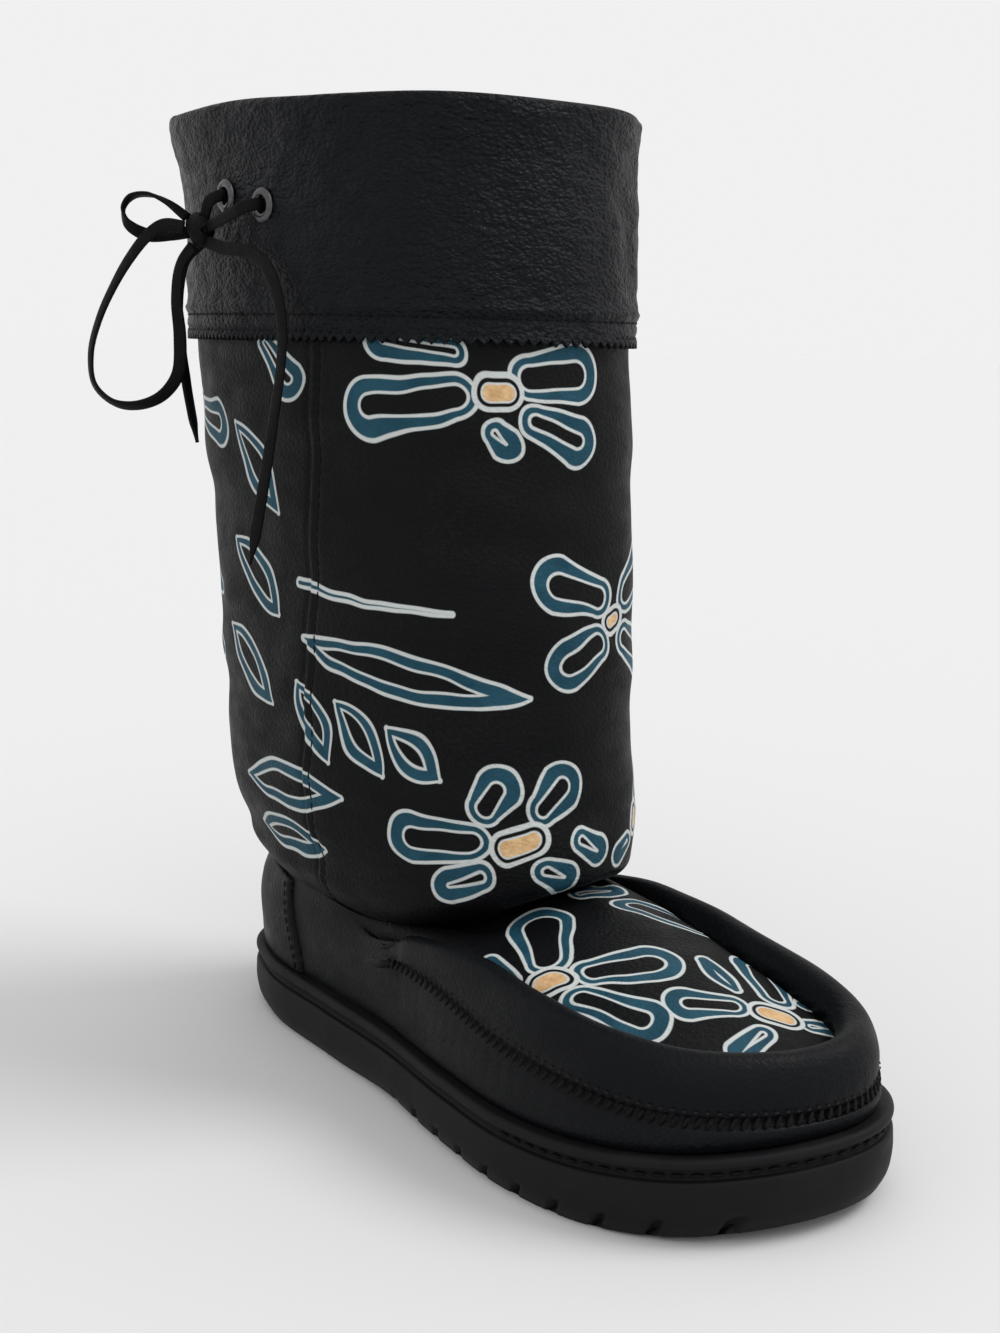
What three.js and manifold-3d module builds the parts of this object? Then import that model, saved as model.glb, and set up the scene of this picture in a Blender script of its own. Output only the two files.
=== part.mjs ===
// A knee-low mukluk boot for the right foot: moccasin-toe foot, tube shaft with a folded cuff,
// drawstring bow at the outer rear of the cuff, and a rubber cupsole.
// Millimetres. +X points to the toe, +Y to the inner (medial) side, +Z up.
// The parts are worked out from the back of the heel, and the group is centred at the end.
import * as THREE from "three";
import { mergeVertices } from "three/addons/utils/BufferGeometryUtils.js";
import Module from "manifold-3d";

const wasm = await Module();
wasm.setup();

// Driving dimensions
const soleLength = 275;
const ballWidth = 107;
const bootHeight = 294;
const outsoleHeight = 18.6;
const midsoleHeight = 3.2;
const toeSpring = 5.5;
const archLift = 2.5;
const pieceGap = 0.3; // between pieces that meet
const footWall = 2;
const shaftWall = 1.8;
const cuffWall = 1.8;
const cuffLiningWall = 3; // the cuff and its lining, above the shaft's top edge
const rollThickness = 2.6;
const plugThickness = 1.2;
const counterThickness = 1.3;
const insoleThickness = 4;
const shaftTop = 250; // top edge of the shaft, inside the cuff
const cuffBottom = 229;
const laceDiameter = 3.4;
const footColumns = 56; // points around the sole's outline
const shaftColumns = 44; // points around the shaft

const soleTop = outsoleHeight + pieceGap + midsoleHeight;

// Shares of the sole's length, and of the ball width on each side of the centre line
const outlineStations = [
  { along: 0.05, lateral: 0.26, medial: 0.26 },
  { along: 0.15, lateral: 0.375, medial: 0.37 },
  { along: 0.3, lateral: 0.41, medial: 0.38 },
  { along: 0.45, lateral: 0.435, medial: 0.385 },
  { along: 0.6, lateral: 0.49, medial: 0.435 },
  { along: 0.72, lateral: 0.515, medial: 0.475 },
  { along: 0.84, lateral: 0.465, medial: 0.465 },
  { along: 0.93, lateral: 0.33, medial: 0.39 },
  { along: 0.985, lateral: 0.11, medial: 0.24 },
];
const toeTipAcross = 0.09;

// The ankle line where the shaft meets the foot: lowest at the sides, and lower at the front of the
// lateral side than at the front of the medial side
const neck = {
  back: 18,
  front: 147,
  halfWidth: 39,
  sideHeight: 55,
  backRise: 9,
  frontRise: 10,
  frontTilt: 0.12,
};
const ankleRise = 17; // how far the foot's upper goes on up inside the shaft
const ovalPower = 2.25;

// Heights of the moccasin roll's crest along the foot
const crestHeights = [
  { along: 0.4, lateral: 51, medial: 53 },
  { along: 0.47, lateral: 54, medial: 59 },
  { along: 0.55, lateral: 58, medial: 62.5 },
  { along: 0.62, lateral: 58.5, medial: 61 },
  { along: 0.8, lateral: 54, medial: 54.5 },
  { along: 0.9, lateral: 51, medial: 51 },
  { along: 1, lateral: 49, medial: 49 },
];
// Heights of the seam under the roll
const seamHeights = [
  { along: 0.4, height: 47 },
  { along: 0.55, height: 46 },
  { along: 0.73, height: 40 },
  { along: 0.88, height: 35 },
  { along: 1, height: 33.5 },
];
// The foot's section where it has the roll, from the sole up: a distance in from the sole's edge,
// the most it may be as a share of the way to the ankle line, a rise over the named height, and
// the share of the wall's height that the same row has where there is no roll
const sectionRows = [
  { name: "feather", inset: 4.5, share: 1, from: "sole", rise: pieceGap, wall: 0 },
  { name: "low", inset: 3.6, share: 1, from: "sole", rise: 4, wall: 0.15 },
  { name: "seam", inset: 5.2, share: 0.3, from: "seam", rise: 0, wall: 0.45 },
  { name: "shoulder", inset: 7.6, share: 0.38, from: "crest", rise: -8, wall: 0.66 },
  { name: "crest", inset: 11.5, share: 0.53, from: "crest", rise: -2, wall: 0.78 },
  { name: "inner", inset: 15.5, share: 0.7, from: "crest", rise: -4, wall: 0.86 },
  { name: "plugEdge", inset: 18.5, share: 0.88, from: "crest", rise: -8, wall: 0.92 },
];
const plugCrown = 3.5; // how far the plug bulges over a straight line from its edge to the ankle
const rollStart = 0.36; // shares of the length where the roll begins and is whole
const rollWhole = 0.48;
const wallLean = 3.5; // how late the heel wall turns in to the ankle line

// Outer surface of the shaft and cuff: back and front of the boot from the heel, and half the width
const shaftRows = [
  { height: 74, back: 9, front: 163, halfWidth: 51.5 },
  { height: 86, back: 4.5, front: 162.5, halfWidth: 55 },
  { height: 104, back: 2.5, front: 159.5, halfWidth: 55.5 },
  { height: 165, back: 0, front: 158, halfWidth: 56 },
  { height: cuffBottom, back: -6, front: 154, halfWidth: 57.3 },
  { height: shaftTop, back: -6.5, front: 153, halfWidth: 57.8 },
];
const cuffRows = [
  { height: cuffBottom, back: -8.4, front: 156.2, halfWidth: 59.6 },
  { height: shaftTop, back: -8.9, front: 155.4, halfWidth: 60.1 },
  { height: 276, back: -8.8, front: 154.2, halfWidth: 60.2 },
  { height: 286, back: -10, front: 154.6, halfWidth: 60.8 },
  { height: bootHeight - 2, back: -11, front: 155.4, halfWidth: 61.6 },
];

// The eyelets on the outer rear of the cuff, by their places on its outer face
const eyeletSpots = {
  rear: { along: 72, height: 269.4 },
  front: { along: 91.5, height: 266.3 },
};
const eyeletBore = 4.6;
const eyeletBarrel = 6;
const outerFlange = { diameter: 9.8, thickness: 0.9 };
const innerFlange = { diameter: 8.4, thickness: 0.6 };

// The bow: its knot, and the middle line of each part of the thong from the knot on
const knotCentre = [66, -65, 260];
const knotDiameter = 10;
const laceRoutes = {
  lace_loop_upper: [
    [63, -68.4, 263.3],
    [59, -72.5, 267.5],
    [55.5, -76.5, 269.5],
    [52, -80.3, 268.8],
    [50.3, -82.2, 265.6],
    [50.4, -81.2, 261.4],
    [52.6, -76.4, 258.4],
    [56.6, -70.8, 258.5],
    [60.8, -66.9, 259.5],
  ],
  lace_loop_lower: [
    [64.8, -70.4, 260.5],
    [61, -75, 261],
    [57, -78, 258.2],
    [52, -82, 251.3],
    [48, -85.5, 243.5],
    [44.5, -89, 234],
    [42.4, -91.2, 224],
    [43, -90.8, 215],
    [46.5, -86.8, 210],
    [51, -81.8, 209.2],
    [56, -76, 212],
    [59.5, -72, 218.5],
    [60.5, -71.2, 229],
    [60, -71.5, 241],
    [61.6, -70.6, 250],
    [65.4, -68.3, 255.3],
  ],
  lace_end_rear: [
    [61.8, -63.9, 256.4],
    [57.5, -66.5, 252],
    [56, -68, 243],
    [56, -68.2, 230],
    [56.5, -68, 218],
    [58, -67.4, 208],
    [60, -66.8, 198.5],
  ],
  lace_end_front: [
    [70.1, -66.1, 256.4],
    [79, -65.8, 254.5],
    [89, -64.2, 253.6],
    [97.5, -63, 250.5],
    [103.5, -62.8, 243.5],
    [106.5, -62.8, 232.5],
    [105.5, -63.2, 221],
    [102.5, -63.8, 209],
    [98, -64.6, 193],
    [93.5, -65.4, 178],
    [89, -66, 164.5],
  ],
};
// From the knot into the eyelets
const laceTails = {
  rear: [[66, -65, 260], [68.5, -65, 264.5], [71, -64, 268.3]],
  front: [[66, -65, 260], [75, -65.5, 261.5], [85, -65, 264.2], [90.5, -63.2, 266.2]],
};

// Materials
const material = (color, roughness, metalness = 0) =>
  new THREE.MeshStandardMaterial({ color, roughness, metalness });
const grainLeather = material(0x17181b, 0.55);
const printedLeather = material(0x1a1b1e, 0.6);
const smoothLeather = material(0x121316, 0.45);
const blackRubber = material(0x1b1c1e, 0.8);
const fleece = material(0x26272a, 0.95);
const darkSteel = material(0x8f9398, 0.3, 0.9);
const thongLeather = material(0x0c0d0f, 0.5);

const boot = new THREE.Group();

function addPiece(name, geometry, pieceMaterial) {
  const mesh = new THREE.Mesh(geometry, pieceMaterial);
  mesh.name = name;
  boot.add(mesh);
  return mesh;
}

// ---- Helpers

// Linear reading of a table by one of its columns
function readTable(rows, key, value, column) {
  const last = rows.length - 1;
  if (value <= rows[0][key]) return rows[0][column];
  if (value >= rows[last][key]) return rows[last][column];
  const k = rows.findIndex((row) => row[key] > value);
  const share = (value - rows[k - 1][key]) / (rows[k][key] - rows[k - 1][key]);
  return THREE.MathUtils.lerp(rows[k - 1][column], rows[k][column], share);
}

// A closed mesh from rings of points. Joined end to end it is a tube that closes on itself;
// otherwise the first and last rings are closed by rungs from side to side.
function loft(rings, { joined = false } = {}) {
  const count = rings[0].length;
  const positions = rings.flat().flatMap((point) => [point.x, point.y, point.z]);
  const index = [];
  const pairs = joined ? rings.length : rings.length - 1;
  for (let r = 0; r < pairs; r += 1) {
    const low = r * count;
    const high = ((r + 1) % rings.length) * count;
    for (let i = 0; i < count; i += 1) {
      const j = (i + 1) % count;
      index.push(low + i, low + j, high + j);
      index.push(low + i, high + j, high + i);
    }
  }
  if (!joined) {
    const top = (rings.length - 1) * count;
    for (let i = 0; i < count / 2; i += 1) {
      const here = (count - i) % count;
      const next = count - i - 1;
      const quad = [i, i + 1, next, here];
      for (const [a, b, c] of [[0, 1, 2], [0, 2, 3]]) {
        const corners = [quad[a], quad[b], quad[c]];
        if (new Set(corners).size < 3) continue;
        index.push(corners[0], corners[2], corners[1]);
        index.push(top + corners[0], top + corners[1], top + corners[2]);
      }
    }
  }
  const geometry = new THREE.BufferGeometry();
  geometry.setAttribute("position", new THREE.Float32BufferAttribute(positions, 3));
  geometry.setIndex(index);
  return geometry;
}

// A grid of points as a closed plate: the far side is the grid moved back
function plate(front, back) {
  const rows = front.length;
  const columns = front[0].length;
  const positions = [...front.flat(), ...back.flat()].flatMap((point) => [point.x, point.y, point.z]);
  const at = (r, c) => r * columns + c;
  const far = rows * columns;
  const index = [];
  const quad = (a, b, c, d) => index.push(a, b, c, a, c, d);
  for (let r = 0; r < rows - 1; r += 1) {
    for (let c = 0; c < columns - 1; c += 1) {
      quad(at(r, c), at(r, c + 1), at(r + 1, c + 1), at(r + 1, c));
      quad(far + at(r, c), far + at(r + 1, c), far + at(r + 1, c + 1), far + at(r, c + 1));
    }
  }
  for (let c = 0; c < columns - 1; c += 1) {
    quad(at(0, c + 1), at(0, c), far + at(0, c), far + at(0, c + 1));
    quad(at(rows - 1, c), at(rows - 1, c + 1), far + at(rows - 1, c + 1), far + at(rows - 1, c));
  }
  for (let r = 0; r < rows - 1; r += 1) {
    quad(at(r, 0), at(r + 1, 0), far + at(r + 1, 0), far + at(r, 0));
    quad(at(r + 1, columns - 1), at(r, columns - 1), far + at(r, columns - 1), far + at(r + 1, columns - 1));
  }
  const geometry = new THREE.BufferGeometry();
  geometry.setAttribute("position", new THREE.Float32BufferAttribute(positions, 3));
  geometry.setIndex(index);
  return geometry;
}

function solidOf(geometry) {
  const bare = geometry.clone();
  bare.deleteAttribute("normal");
  bare.deleteAttribute("uv");
  const merged = mergeVertices(bare, 1e-4);
  return new wasm.Manifold(
    new wasm.Mesh({
      numProp: 3,
      vertProperties: new Float32Array(merged.attributes.position.array),
      triVerts: new Uint32Array(merged.index.array),
    }),
  );
}

function geometryOf(solid) {
  const mesh = solid.getMesh();
  const geometry = new THREE.BufferGeometry();
  geometry.setAttribute("position", new THREE.Float32BufferAttribute(mesh.vertProperties, 3));
  geometry.setIndex([...mesh.triVerts]);
  return geometry;
}

// A side-view outline in X and Z, pushed out across the whole boot
function acrossBoot(points) {
  const shape = new THREE.Shape(points.map(([x, z]) => new THREE.Vector2(x, z)));
  const geometry = new THREE.ExtrudeGeometry(shape, { depth: 2 * ballWidth, bevelEnabled: false });
  geometry.rotateX(Math.PI / 2);
  geometry.translate(0, ballWidth, 0);
  return geometry;
}

// ---- The sole's outline

const outline = makeOutline();

function makeOutline() {
  const corner = (station, side) =>
    new THREE.Vector3(station.along * soleLength, side * ballWidth, 0);
  const lateral = outlineStations.map((station) => corner(station, -station.lateral));
  const medial = outlineStations.map((station) => corner(station, station.medial)).reverse();
  const toeTip = new THREE.Vector3(soleLength, toeTipAcross * ballWidth, 0);
  const points = [new THREE.Vector3(0, 0, 0), ...lateral, toeTip, ...medial];
  const curve = new THREE.CatmullRomCurve3(points, true, "centripetal");
  const edge = curve.getSpacedPoints(footColumns).slice(0, footColumns);
  return edge.map((point, i) => {
    const before = edge[(i + footColumns - 1) % footColumns];
    const after = edge[(i + 1) % footColumns];
    const along = after.clone().sub(before).normalize();
    return { point, outward: new THREE.Vector3(along.y, -along.x, 0) };
  });
}

// How far the ground side of the sole lies over the floor
function groundLift(x) {
  const archShare = THREE.MathUtils.clamp((x - 92) / (150 - 92), 0, 1);
  const arch = archLift * Math.sin(Math.PI * archShare) ** 2;
  const toeShare = THREE.MathUtils.clamp((x / soleLength - 0.78) / 0.22, 0, 1);
  return arch + toeSpring * toeShare ** 2;
}

// How far the toe spring lifts the top of the sole
function topLift(x) {
  const toeShare = THREE.MathUtils.clamp((x / soleLength - 0.7) / 0.3, 0, 1);
  return toeSpring * toeShare ** 2;
}

function soleRing(inset, height, lift = topLift) {
  return outline.map(({ point, outward }) => {
    const moved = point.clone().addScaledVector(outward, -inset);
    moved.z = height + lift(point.x);
    return moved;
  });
}

// ---- Outsole: sidewall with a stitching groove at the top, arch, toe spring and lugs

function makeOutsole() {
  const grooveDepth = 2.2;
  const grooveBottom = outsoleHeight - 2.8;
  const body = solidOf(
    loft([
      soleRing(3.4, -1.2, groundLift),
      soleRing(2.4, 0.9, groundLift),
      soleRing(0.8, 4, groundLift),
      soleRing(0, 9),
      soleRing(0.3, grooveBottom - 0.4),
      soleRing(grooveDepth, grooveBottom),
      soleRing(grooveDepth, outsoleHeight),
    ]),
  );
  return geometryOf(body.subtract(solidOf(acrossBoot(groundProfile()))));
}

// What is cut away under the sole: the lift of the arch and toe, and the gaps between the lugs
function groundProfile() {
  const below = -6;
  const lugPitch = 14.5;
  const grooveWidth = 3;
  const grooveHeight = 3.2;
  const points = [[-10, below], [-10, 0]];
  for (let x = 12; x < soleLength - 8; x += lugPitch) {
    points.push([x, groundLift(x)]);
    points.push([x, groundLift(x) + grooveHeight]);
    points.push([x + grooveWidth, groundLift(x + grooveWidth) + grooveHeight]);
    points.push([x + grooveWidth, groundLift(x + grooveWidth)]);
    const middle = x + (lugPitch + grooveWidth) / 2;
    if (groundLift(middle) > 0) points.push([middle, groundLift(middle)]);
  }
  points.push([soleLength + 10, toeSpring + 1], [soleLength + 10, below]);
  return points;
}

// ---- Midsole: the rounded lip over the groove

function makeMidsole() {
  const bottom = outsoleHeight + pieceGap;
  return loft([
    soleRing(2.2, bottom),
    soleRing(0.9, bottom + 0.4),
    soleRing(0.3, bottom + midsoleHeight / 2),
    soleRing(0.8, soleTop - 0.5),
    soleRing(2, soleTop),
  ]);
}

// ---- The foot's upper

function neckPoint(angle) {
  const cosine = Math.cos(angle);
  const sine = Math.sin(angle);
  const halfLength = (neck.front - neck.back) / 2;
  const spread =
    (Math.abs(cosine) / halfLength) ** ovalPower + (Math.abs(sine) / neck.halfWidth) ** ovalPower;
  const reach = spread ** (-1 / ovalPower);
  const x = (neck.front + neck.back) / 2 + reach * cosine;
  const forward = (reach * cosine) / halfLength;
  const rise =
    forward > 0 ? neck.frontRise * forward ** 6 : neck.backRise * Math.abs(forward) ** 2;
  const tilt = neck.frontTilt * reach * sine * Math.max(forward, 0);
  return new THREE.Vector3(x, reach * sine, neck.sideHeight + rise + tilt);
}

// The outer surface of the foot, one column of points from the sole to the top of the ankle
function footColumn({ point, outward }) {
  const centre = (neck.front + neck.back) / 2;
  const ankle = neckPoint(Math.atan2(point.y, point.x - centre));
  const along = point.x / soleLength;
  const rolled = THREE.MathUtils.smoothstep(along, rollStart, rollWhole);
  const reach = Math.abs(ankle.clone().sub(point).dot(outward));
  const heights = {
    sole: soleTop + topLift(point.x),
    seam: readTable(seamHeights, "along", along, "height"),
    crest: THREE.MathUtils.lerp(
      readTable(crestHeights, "along", along, "lateral"),
      readTable(crestHeights, "along", along, "medial"),
      THREE.MathUtils.smoothstep(point.y, -ballWidth / 2, ballWidth / 2),
    ),
  };
  const bottom = point.clone().addScaledVector(outward, -sectionRows[0].inset);
  bottom.z = heights.sole + sectionRows[0].rise;
  const column = sectionRows.map((row) => {
    const lean = row.wall ** wallLean;
    const wall = bottom.clone().lerp(ankle, lean);
    wall.addScaledVector(outward, 1.2 * Math.sin(Math.PI * row.wall));
    wall.z = THREE.MathUtils.lerp(bottom.z, ankle.z, row.wall);
    const inset = Math.min(row.inset, row.share * Math.max(reach, sectionRows[0].inset + 1));
    const roll = point.clone().addScaledVector(outward, -inset);
    roll.z = heights[row.from] + row.rise;
    return wall.lerp(roll, rolled);
  });
  const edge = column[column.length - 1];
  for (const share of [0.35, 0.7]) {
    const vamp = edge.clone().lerp(ankle, share);
    vamp.z += rolled * plugCrown * Math.sin(Math.PI * share);
    column.push(vamp);
  }
  column.push(ankle);
  const top = ankle.clone();
  top.x = THREE.MathUtils.lerp(top.x, centre, 0.02);
  top.y *= 0.98;
  top.z += ankleRise;
  column.push(top);
  return column;
}

// Rows of the upper's grid as places along each column: whole numbers are the column's own points
const rowNames = { feather: 0, seam: 2, rollEnd: 5.6, plugEdge: 6, plugEnd: 8.7, neck: 9, top: 10 };
const footRows = [0, 1, 2, 3, 3.5, 4, 5, 5.6, 6, 7, 8, 8.7, 9, 10];
const innerRows = [0, 2, 4, 6, 8, 9, 10];
const footSurface = makeFootSurface();

function makeFootSurface() {
  const curves = outline.map((station) => {
    const column = footColumn(station);
    return (place) => {
      const k = Math.min(Math.floor(place), column.length - 2);
      const share = place - k;
      const before = column[Math.max(k - 1, 0)];
      const after = column[Math.min(k + 2, column.length - 1)];
      const spline = (axis) =>
        THREE.MathUtils.clamp(
          hermite(before[axis], column[k][axis], column[k + 1][axis], after[axis], share),
          Math.min(column[k][axis], column[k + 1][axis]) - 1,
          Math.max(column[k][axis], column[k + 1][axis]) + 1,
        );
      return new THREE.Vector3(spline("x"), spline("y"), spline("z"));
    };
  });
  // A point of the surface, moved out by a distance along its normal
  return (place, column, out = 0) => {
    const c = ((column % footColumns) + footColumns) % footColumns;
    const point = curves[c](place);
    if (out === 0) return point;
    const step = 0.35;
    const up = curves[c](Math.min(place + step, rowNames.top)).sub(curves[c](Math.max(place - step, 0)));
    const next = curves[(c + 1) % footColumns](place);
    const round = next.sub(curves[(c + footColumns - 1) % footColumns](place));
    return point.addScaledVector(round.cross(up).normalize(), out);
  };
}

function hermite(before, from, to, after, share) {
  const start = (to - before) / 2;
  const end = (after - from) / 2;
  const s2 = share * share;
  const s3 = s2 * share;
  return (
    (2 * s3 - 3 * s2 + 1) * from + (s3 - 2 * s2 + share) * start + (3 * s2 - 2 * s3) * to + (s3 - s2) * end
  );
}

function footRing(place, out) {
  return outline.map((_, column) => footSurface(place, column, out));
}

function makeUpper() {
  const outer = footRows.map((place) => footRing(place, 0));
  const inner = innerRows.map((place) => {
    const ring = footRing(place, -footWall);
    const rim = outer[footRows.indexOf(place)];
    if (place === 0 || place === rowNames.top) ring.forEach((point, i) => (point.z = rim[i].z));
    return ring;
  });
  return loft([...outer, ...inner.reverse()], { joined: true });
}

// A plate over part of the foot, thinner along its first and last rows
function footPlate(places, columns, thickness, margin = 0) {
  const edgeShare = 0.35;
  const grid = (out) => places.map((place, k) => columns.map((c) => footSurface(place, c, out(k))));
  const isEdge = (k) => k === 0 || k === places.length - 1;
  const outer = grid((k) => pieceGap + margin + thickness * (isEdge(k) ? edgeShare : 1));
  const sunk = 0.8;
  return solidOf(plate(outer, grid(() => -sunk)));
}

const rowsBetween = (first, last) => footRows.filter((place) => place >= first && place <= last);

// An overlay lies between two forms larger than the upper: its own plate, less the upper with a gap
const upperForm = solidOf(loft(footRows.map((place) => footRing(place, 1.6 * pieceGap))));

// The columns on each side whose outline lies ahead of a share of the length
function columnsAhead(along) {
  return outline.map((_, i) => i).filter((i) => outline[i].point.x > along * soleLength);
}

// The columns around the heel, behind a share of the length, from the medial to the lateral side
function columnsBehind(along) {
  const ahead = new Set(columnsAhead(along));
  const half = footColumns / 2;
  const all = Array.from({ length: footColumns }, (_, i) => i - half);
  return all.filter((i) => !ahead.has((i + footColumns) % footColumns));
}

function makeInsole() {
  const inset = sectionRows[0].inset + footWall + 0.6;
  const bottom = soleTop + pieceGap;
  return loft([
    soleRing(inset, bottom),
    soleRing(inset, bottom + insoleThickness - 1),
    soleRing(inset + 1.2, bottom + insoleThickness),
  ]);
}

// ---- Heel counter: cut from a plate around the heel by a sloping front edge

function makeHeelCounter() {
  const rows = rowsBetween(rowNames.feather, rowNames.plugEdge);
  const around = footPlate(rows, columnsBehind(0.32), counterThickness);
  const behind = acrossBoot([[-20, -5], [66, -5], [64, 30], [59, 45], [52, 80], [-20, 80]]);
  return geometryOf(around.subtract(upperForm).intersect(solidOf(behind)));
}

// ---- The moccasin roll round the toe, and the printed plug inside it

const rollColumns = columnsAhead(0.45);
const rollRows = rowsBetween(rowNames.seam, rowNames.rollEnd);

function makeRoll() {
  return geometryOf(footPlate(rollRows, rollColumns, rollThickness).subtract(upperForm));
}

function makePlug() {
  const rows = rowsBetween(rowNames.plugEdge, rowNames.plugEnd);
  const over = footPlate(rows, rollColumns.slice(1, -1), plugThickness);
  const rollWithGap = footPlate([...rollRows, rowNames.rollEnd + 0.2], rollColumns, rollThickness, 0.5);
  return geometryOf(over.subtract(upperForm).subtract(rollWithGap));
}

// ---- Shaft and cuff

function shaftPoint(row, angle, out = 0) {
  const cosine = Math.cos(angle);
  const sine = Math.sin(angle);
  const halfLength = (row.front - row.back) / 2 + out;
  const halfWidth = row.halfWidth + out;
  const spread =
    (Math.abs(cosine) / halfLength) ** ovalPower + (Math.abs(sine) / halfWidth) ** ovalPower;
  const reach = spread ** (-1 / ovalPower);
  return new THREE.Vector3((row.front + row.back) / 2 + reach * cosine, reach * sine, row.height);
}

function shaftAngle(column) {
  return (2 * Math.PI * column) / shaftColumns + Math.PI;
}

function aroundShaft(pointAt) {
  return Array.from({ length: shaftColumns }, (_, column) => pointAt(shaftAngle(column)));
}

function shaftRing(row, out) {
  return aroundShaft((angle) => shaftPoint(row, angle, out));
}

// The shaft's bottom edge rests on the foot at the ankle line, with its leather turned under
const edgeClear = 0.9;
const edgeRise = 1.8;

function shaftEdge(out) {
  return aroundShaft((angle) => {
    const point = neckPoint(angle);
    const centre = new THREE.Vector3((neck.front + neck.back) / 2, 0, point.z);
    const away = point.clone().sub(centre).normalize();
    point.addScaledVector(away, edgeClear + out);
    point.z += edgeRise;
    return point;
  });
}

// A ring part of the way from the bottom edge to the first full row
function shaftTuck(share, bulge, out) {
  const edge = shaftEdge(shaftWall + out);
  const full = shaftRing(shaftRows[0], out);
  return edge.map((point, i) => {
    const mixed = point.clone().lerp(full[i], bulge);
    mixed.z = THREE.MathUtils.lerp(point.z, full[i].z, share);
    return mixed;
  });
}

function makeShaft() {
  const tucks = [[0.26, 0.56], [0.58, 0.9]];
  const outer = [shaftEdge(shaftWall), ...tucks.map(([share, bulge]) => shaftTuck(share, bulge, 0))];
  const inner = [shaftEdge(0), ...tucks.map(([share, bulge]) => shaftTuck(share, bulge, -shaftWall))];
  for (const row of shaftRows) {
    outer.push(shaftRing(row, 0));
    inner.push(shaftRing(row, -shaftWall));
  }
  return loft([...outer, ...inner.reverse()], { joined: true });
}

function makeCuff() {
  const rows = cuffRows.slice(1);
  const top = { ...cuffRows[cuffRows.length - 1], height: bootHeight };
  const shelf = { ...cuffRows[1], height: shaftTop + pieceGap };
  const tube = loft(
    [
      ...cuffRows.map((row) => shaftRing(row, 0)),
      shaftRing(top, -0.8),
      shaftRing(top, 0.8 - cuffLiningWall),
      ...rows.slice(1).reverse().map((row) => shaftRing(row, -cuffLiningWall)),
      shaftRing(shelf, -cuffLiningWall),
      shaftRing(shelf, -cuffWall),
      shaftRing(cuffRows[0], -cuffWall),
    ],
    { joined: true },
  );
  const holes = Object.values(eyeletSpots).map((spot) => {
    const radius = eyeletBarrel / 2 + pieceGap;
    const hole = new THREE.CylinderGeometry(radius, radius, 6 * cuffLiningWall, 24);
    return solidOf(stoodOnCuff(hole, spot));
  });
  return geometryOf(holes.reduce((solid, hole) => solid.subtract(hole), solidOf(tube)));
}

// ---- Eyelets and the drawstring's bow

// Turns a shape made along +Y so that it stands out of the cuff's outer face at a spot
function stoodOnCuff(geometry, { along, height }) {
  const read = (column) => readTable(cuffRows, "height", height, column);
  const centre = (read("front") + read("back")) / 2;
  const halfLength = (read("front") - read("back")) / 2;
  const halfWidth = read("halfWidth");
  const forward = (along - centre) / halfLength;
  const across = (1 - Math.abs(forward) ** ovalPower) ** (1 / ovalPower);
  const outward = new THREE.Vector3(
    (Math.sign(forward) * Math.abs(forward) ** (ovalPower - 1)) / halfLength,
    -(across ** (ovalPower - 1)) / halfWidth,
    0,
  ).normalize();
  geometry.applyQuaternion(new THREE.Quaternion().setFromUnitVectors(new THREE.Vector3(0, 1, 0), outward));
  return geometry.translate(along, -halfWidth * across, height);
}

function makeEyelet(spot) {
  const bore = eyeletBore / 2;
  const barrel = eyeletBarrel / 2;
  const outerFace = pieceGap;
  const innerFace = -cuffLiningWall - 1.6 * pieceGap;
  const profile = [
    [bore, innerFace - innerFlange.thickness],
    [innerFlange.diameter / 2, innerFace - innerFlange.thickness],
    [innerFlange.diameter / 2, innerFace],
    [barrel, innerFace],
    [barrel, outerFace],
    [outerFlange.diameter / 2, outerFace],
    [(barrel + outerFlange.diameter / 2) / 2, outerFace + outerFlange.thickness],
    [bore, outerFace + outerFlange.thickness / 2],
  ];
  const points = [...profile, profile[0]].map(([x, y]) => new THREE.Vector2(x, y));
  return stoodOnCuff(new THREE.LatheGeometry(points, 20), spot);
}

// A round tube of the thong's width along a curve through a route's points
function thong(route, steps) {
  const sides = 8;
  const corners = Array.from({ length: sides }, (_, i) => {
    const angle = (2 * Math.PI * i) / sides;
    return new THREE.Vector2(Math.cos(angle), Math.sin(angle)).multiplyScalar(laceDiameter / 2);
  });
  const extrudePath = new THREE.CatmullRomCurve3(route.map((point) => new THREE.Vector3(...point)));
  return new THREE.ExtrudeGeometry(new THREE.Shape(corners), { steps, extrudePath, bevelEnabled: false });
}

// The knot, with the thong's two tails up into the bores of the eyelets
function makeKnot() {
  const ball = new THREE.SphereGeometry(knotDiameter / 2, 12, 8).translate(...knotCentre);
  let solid = solidOf(ball);
  for (const [name, spot] of Object.entries(eyeletSpots)) {
    const bore = [2.4, 0.6, -1].map((out) => {
      const place = stoodOnCuff(new THREE.BufferGeometry().setFromPoints([new THREE.Vector3(0, out, 0)]), spot);
      return [...place.attributes.position.array];
    });
    solid = solid.add(solidOf(thong([...laceTails[name], ...bore], name === "rear" ? 7 : 10)));
  }
  return geometryOf(solid);
}

addPiece("outsole", makeOutsole(), blackRubber);
addPiece("midsole", makeMidsole(), blackRubber);
addPiece("insole", makeInsole(), fleece);
addPiece("upper", makeUpper(), smoothLeather);
addPiece("apron_roll", makeRoll(), smoothLeather);
addPiece("vamp_plug", makePlug(), printedLeather);
addPiece("heel_counter", makeHeelCounter(), smoothLeather);
addPiece("shaft", makeShaft(), printedLeather);
addPiece("cuff", makeCuff(), grainLeather);

// The group is centred by the boot itself, without the eyelets and the bow
const middle = new THREE.Box3().setFromObject(boot).getCenter(new THREE.Vector3());
boot.position.set(-middle.x, -middle.y, 0);

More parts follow.
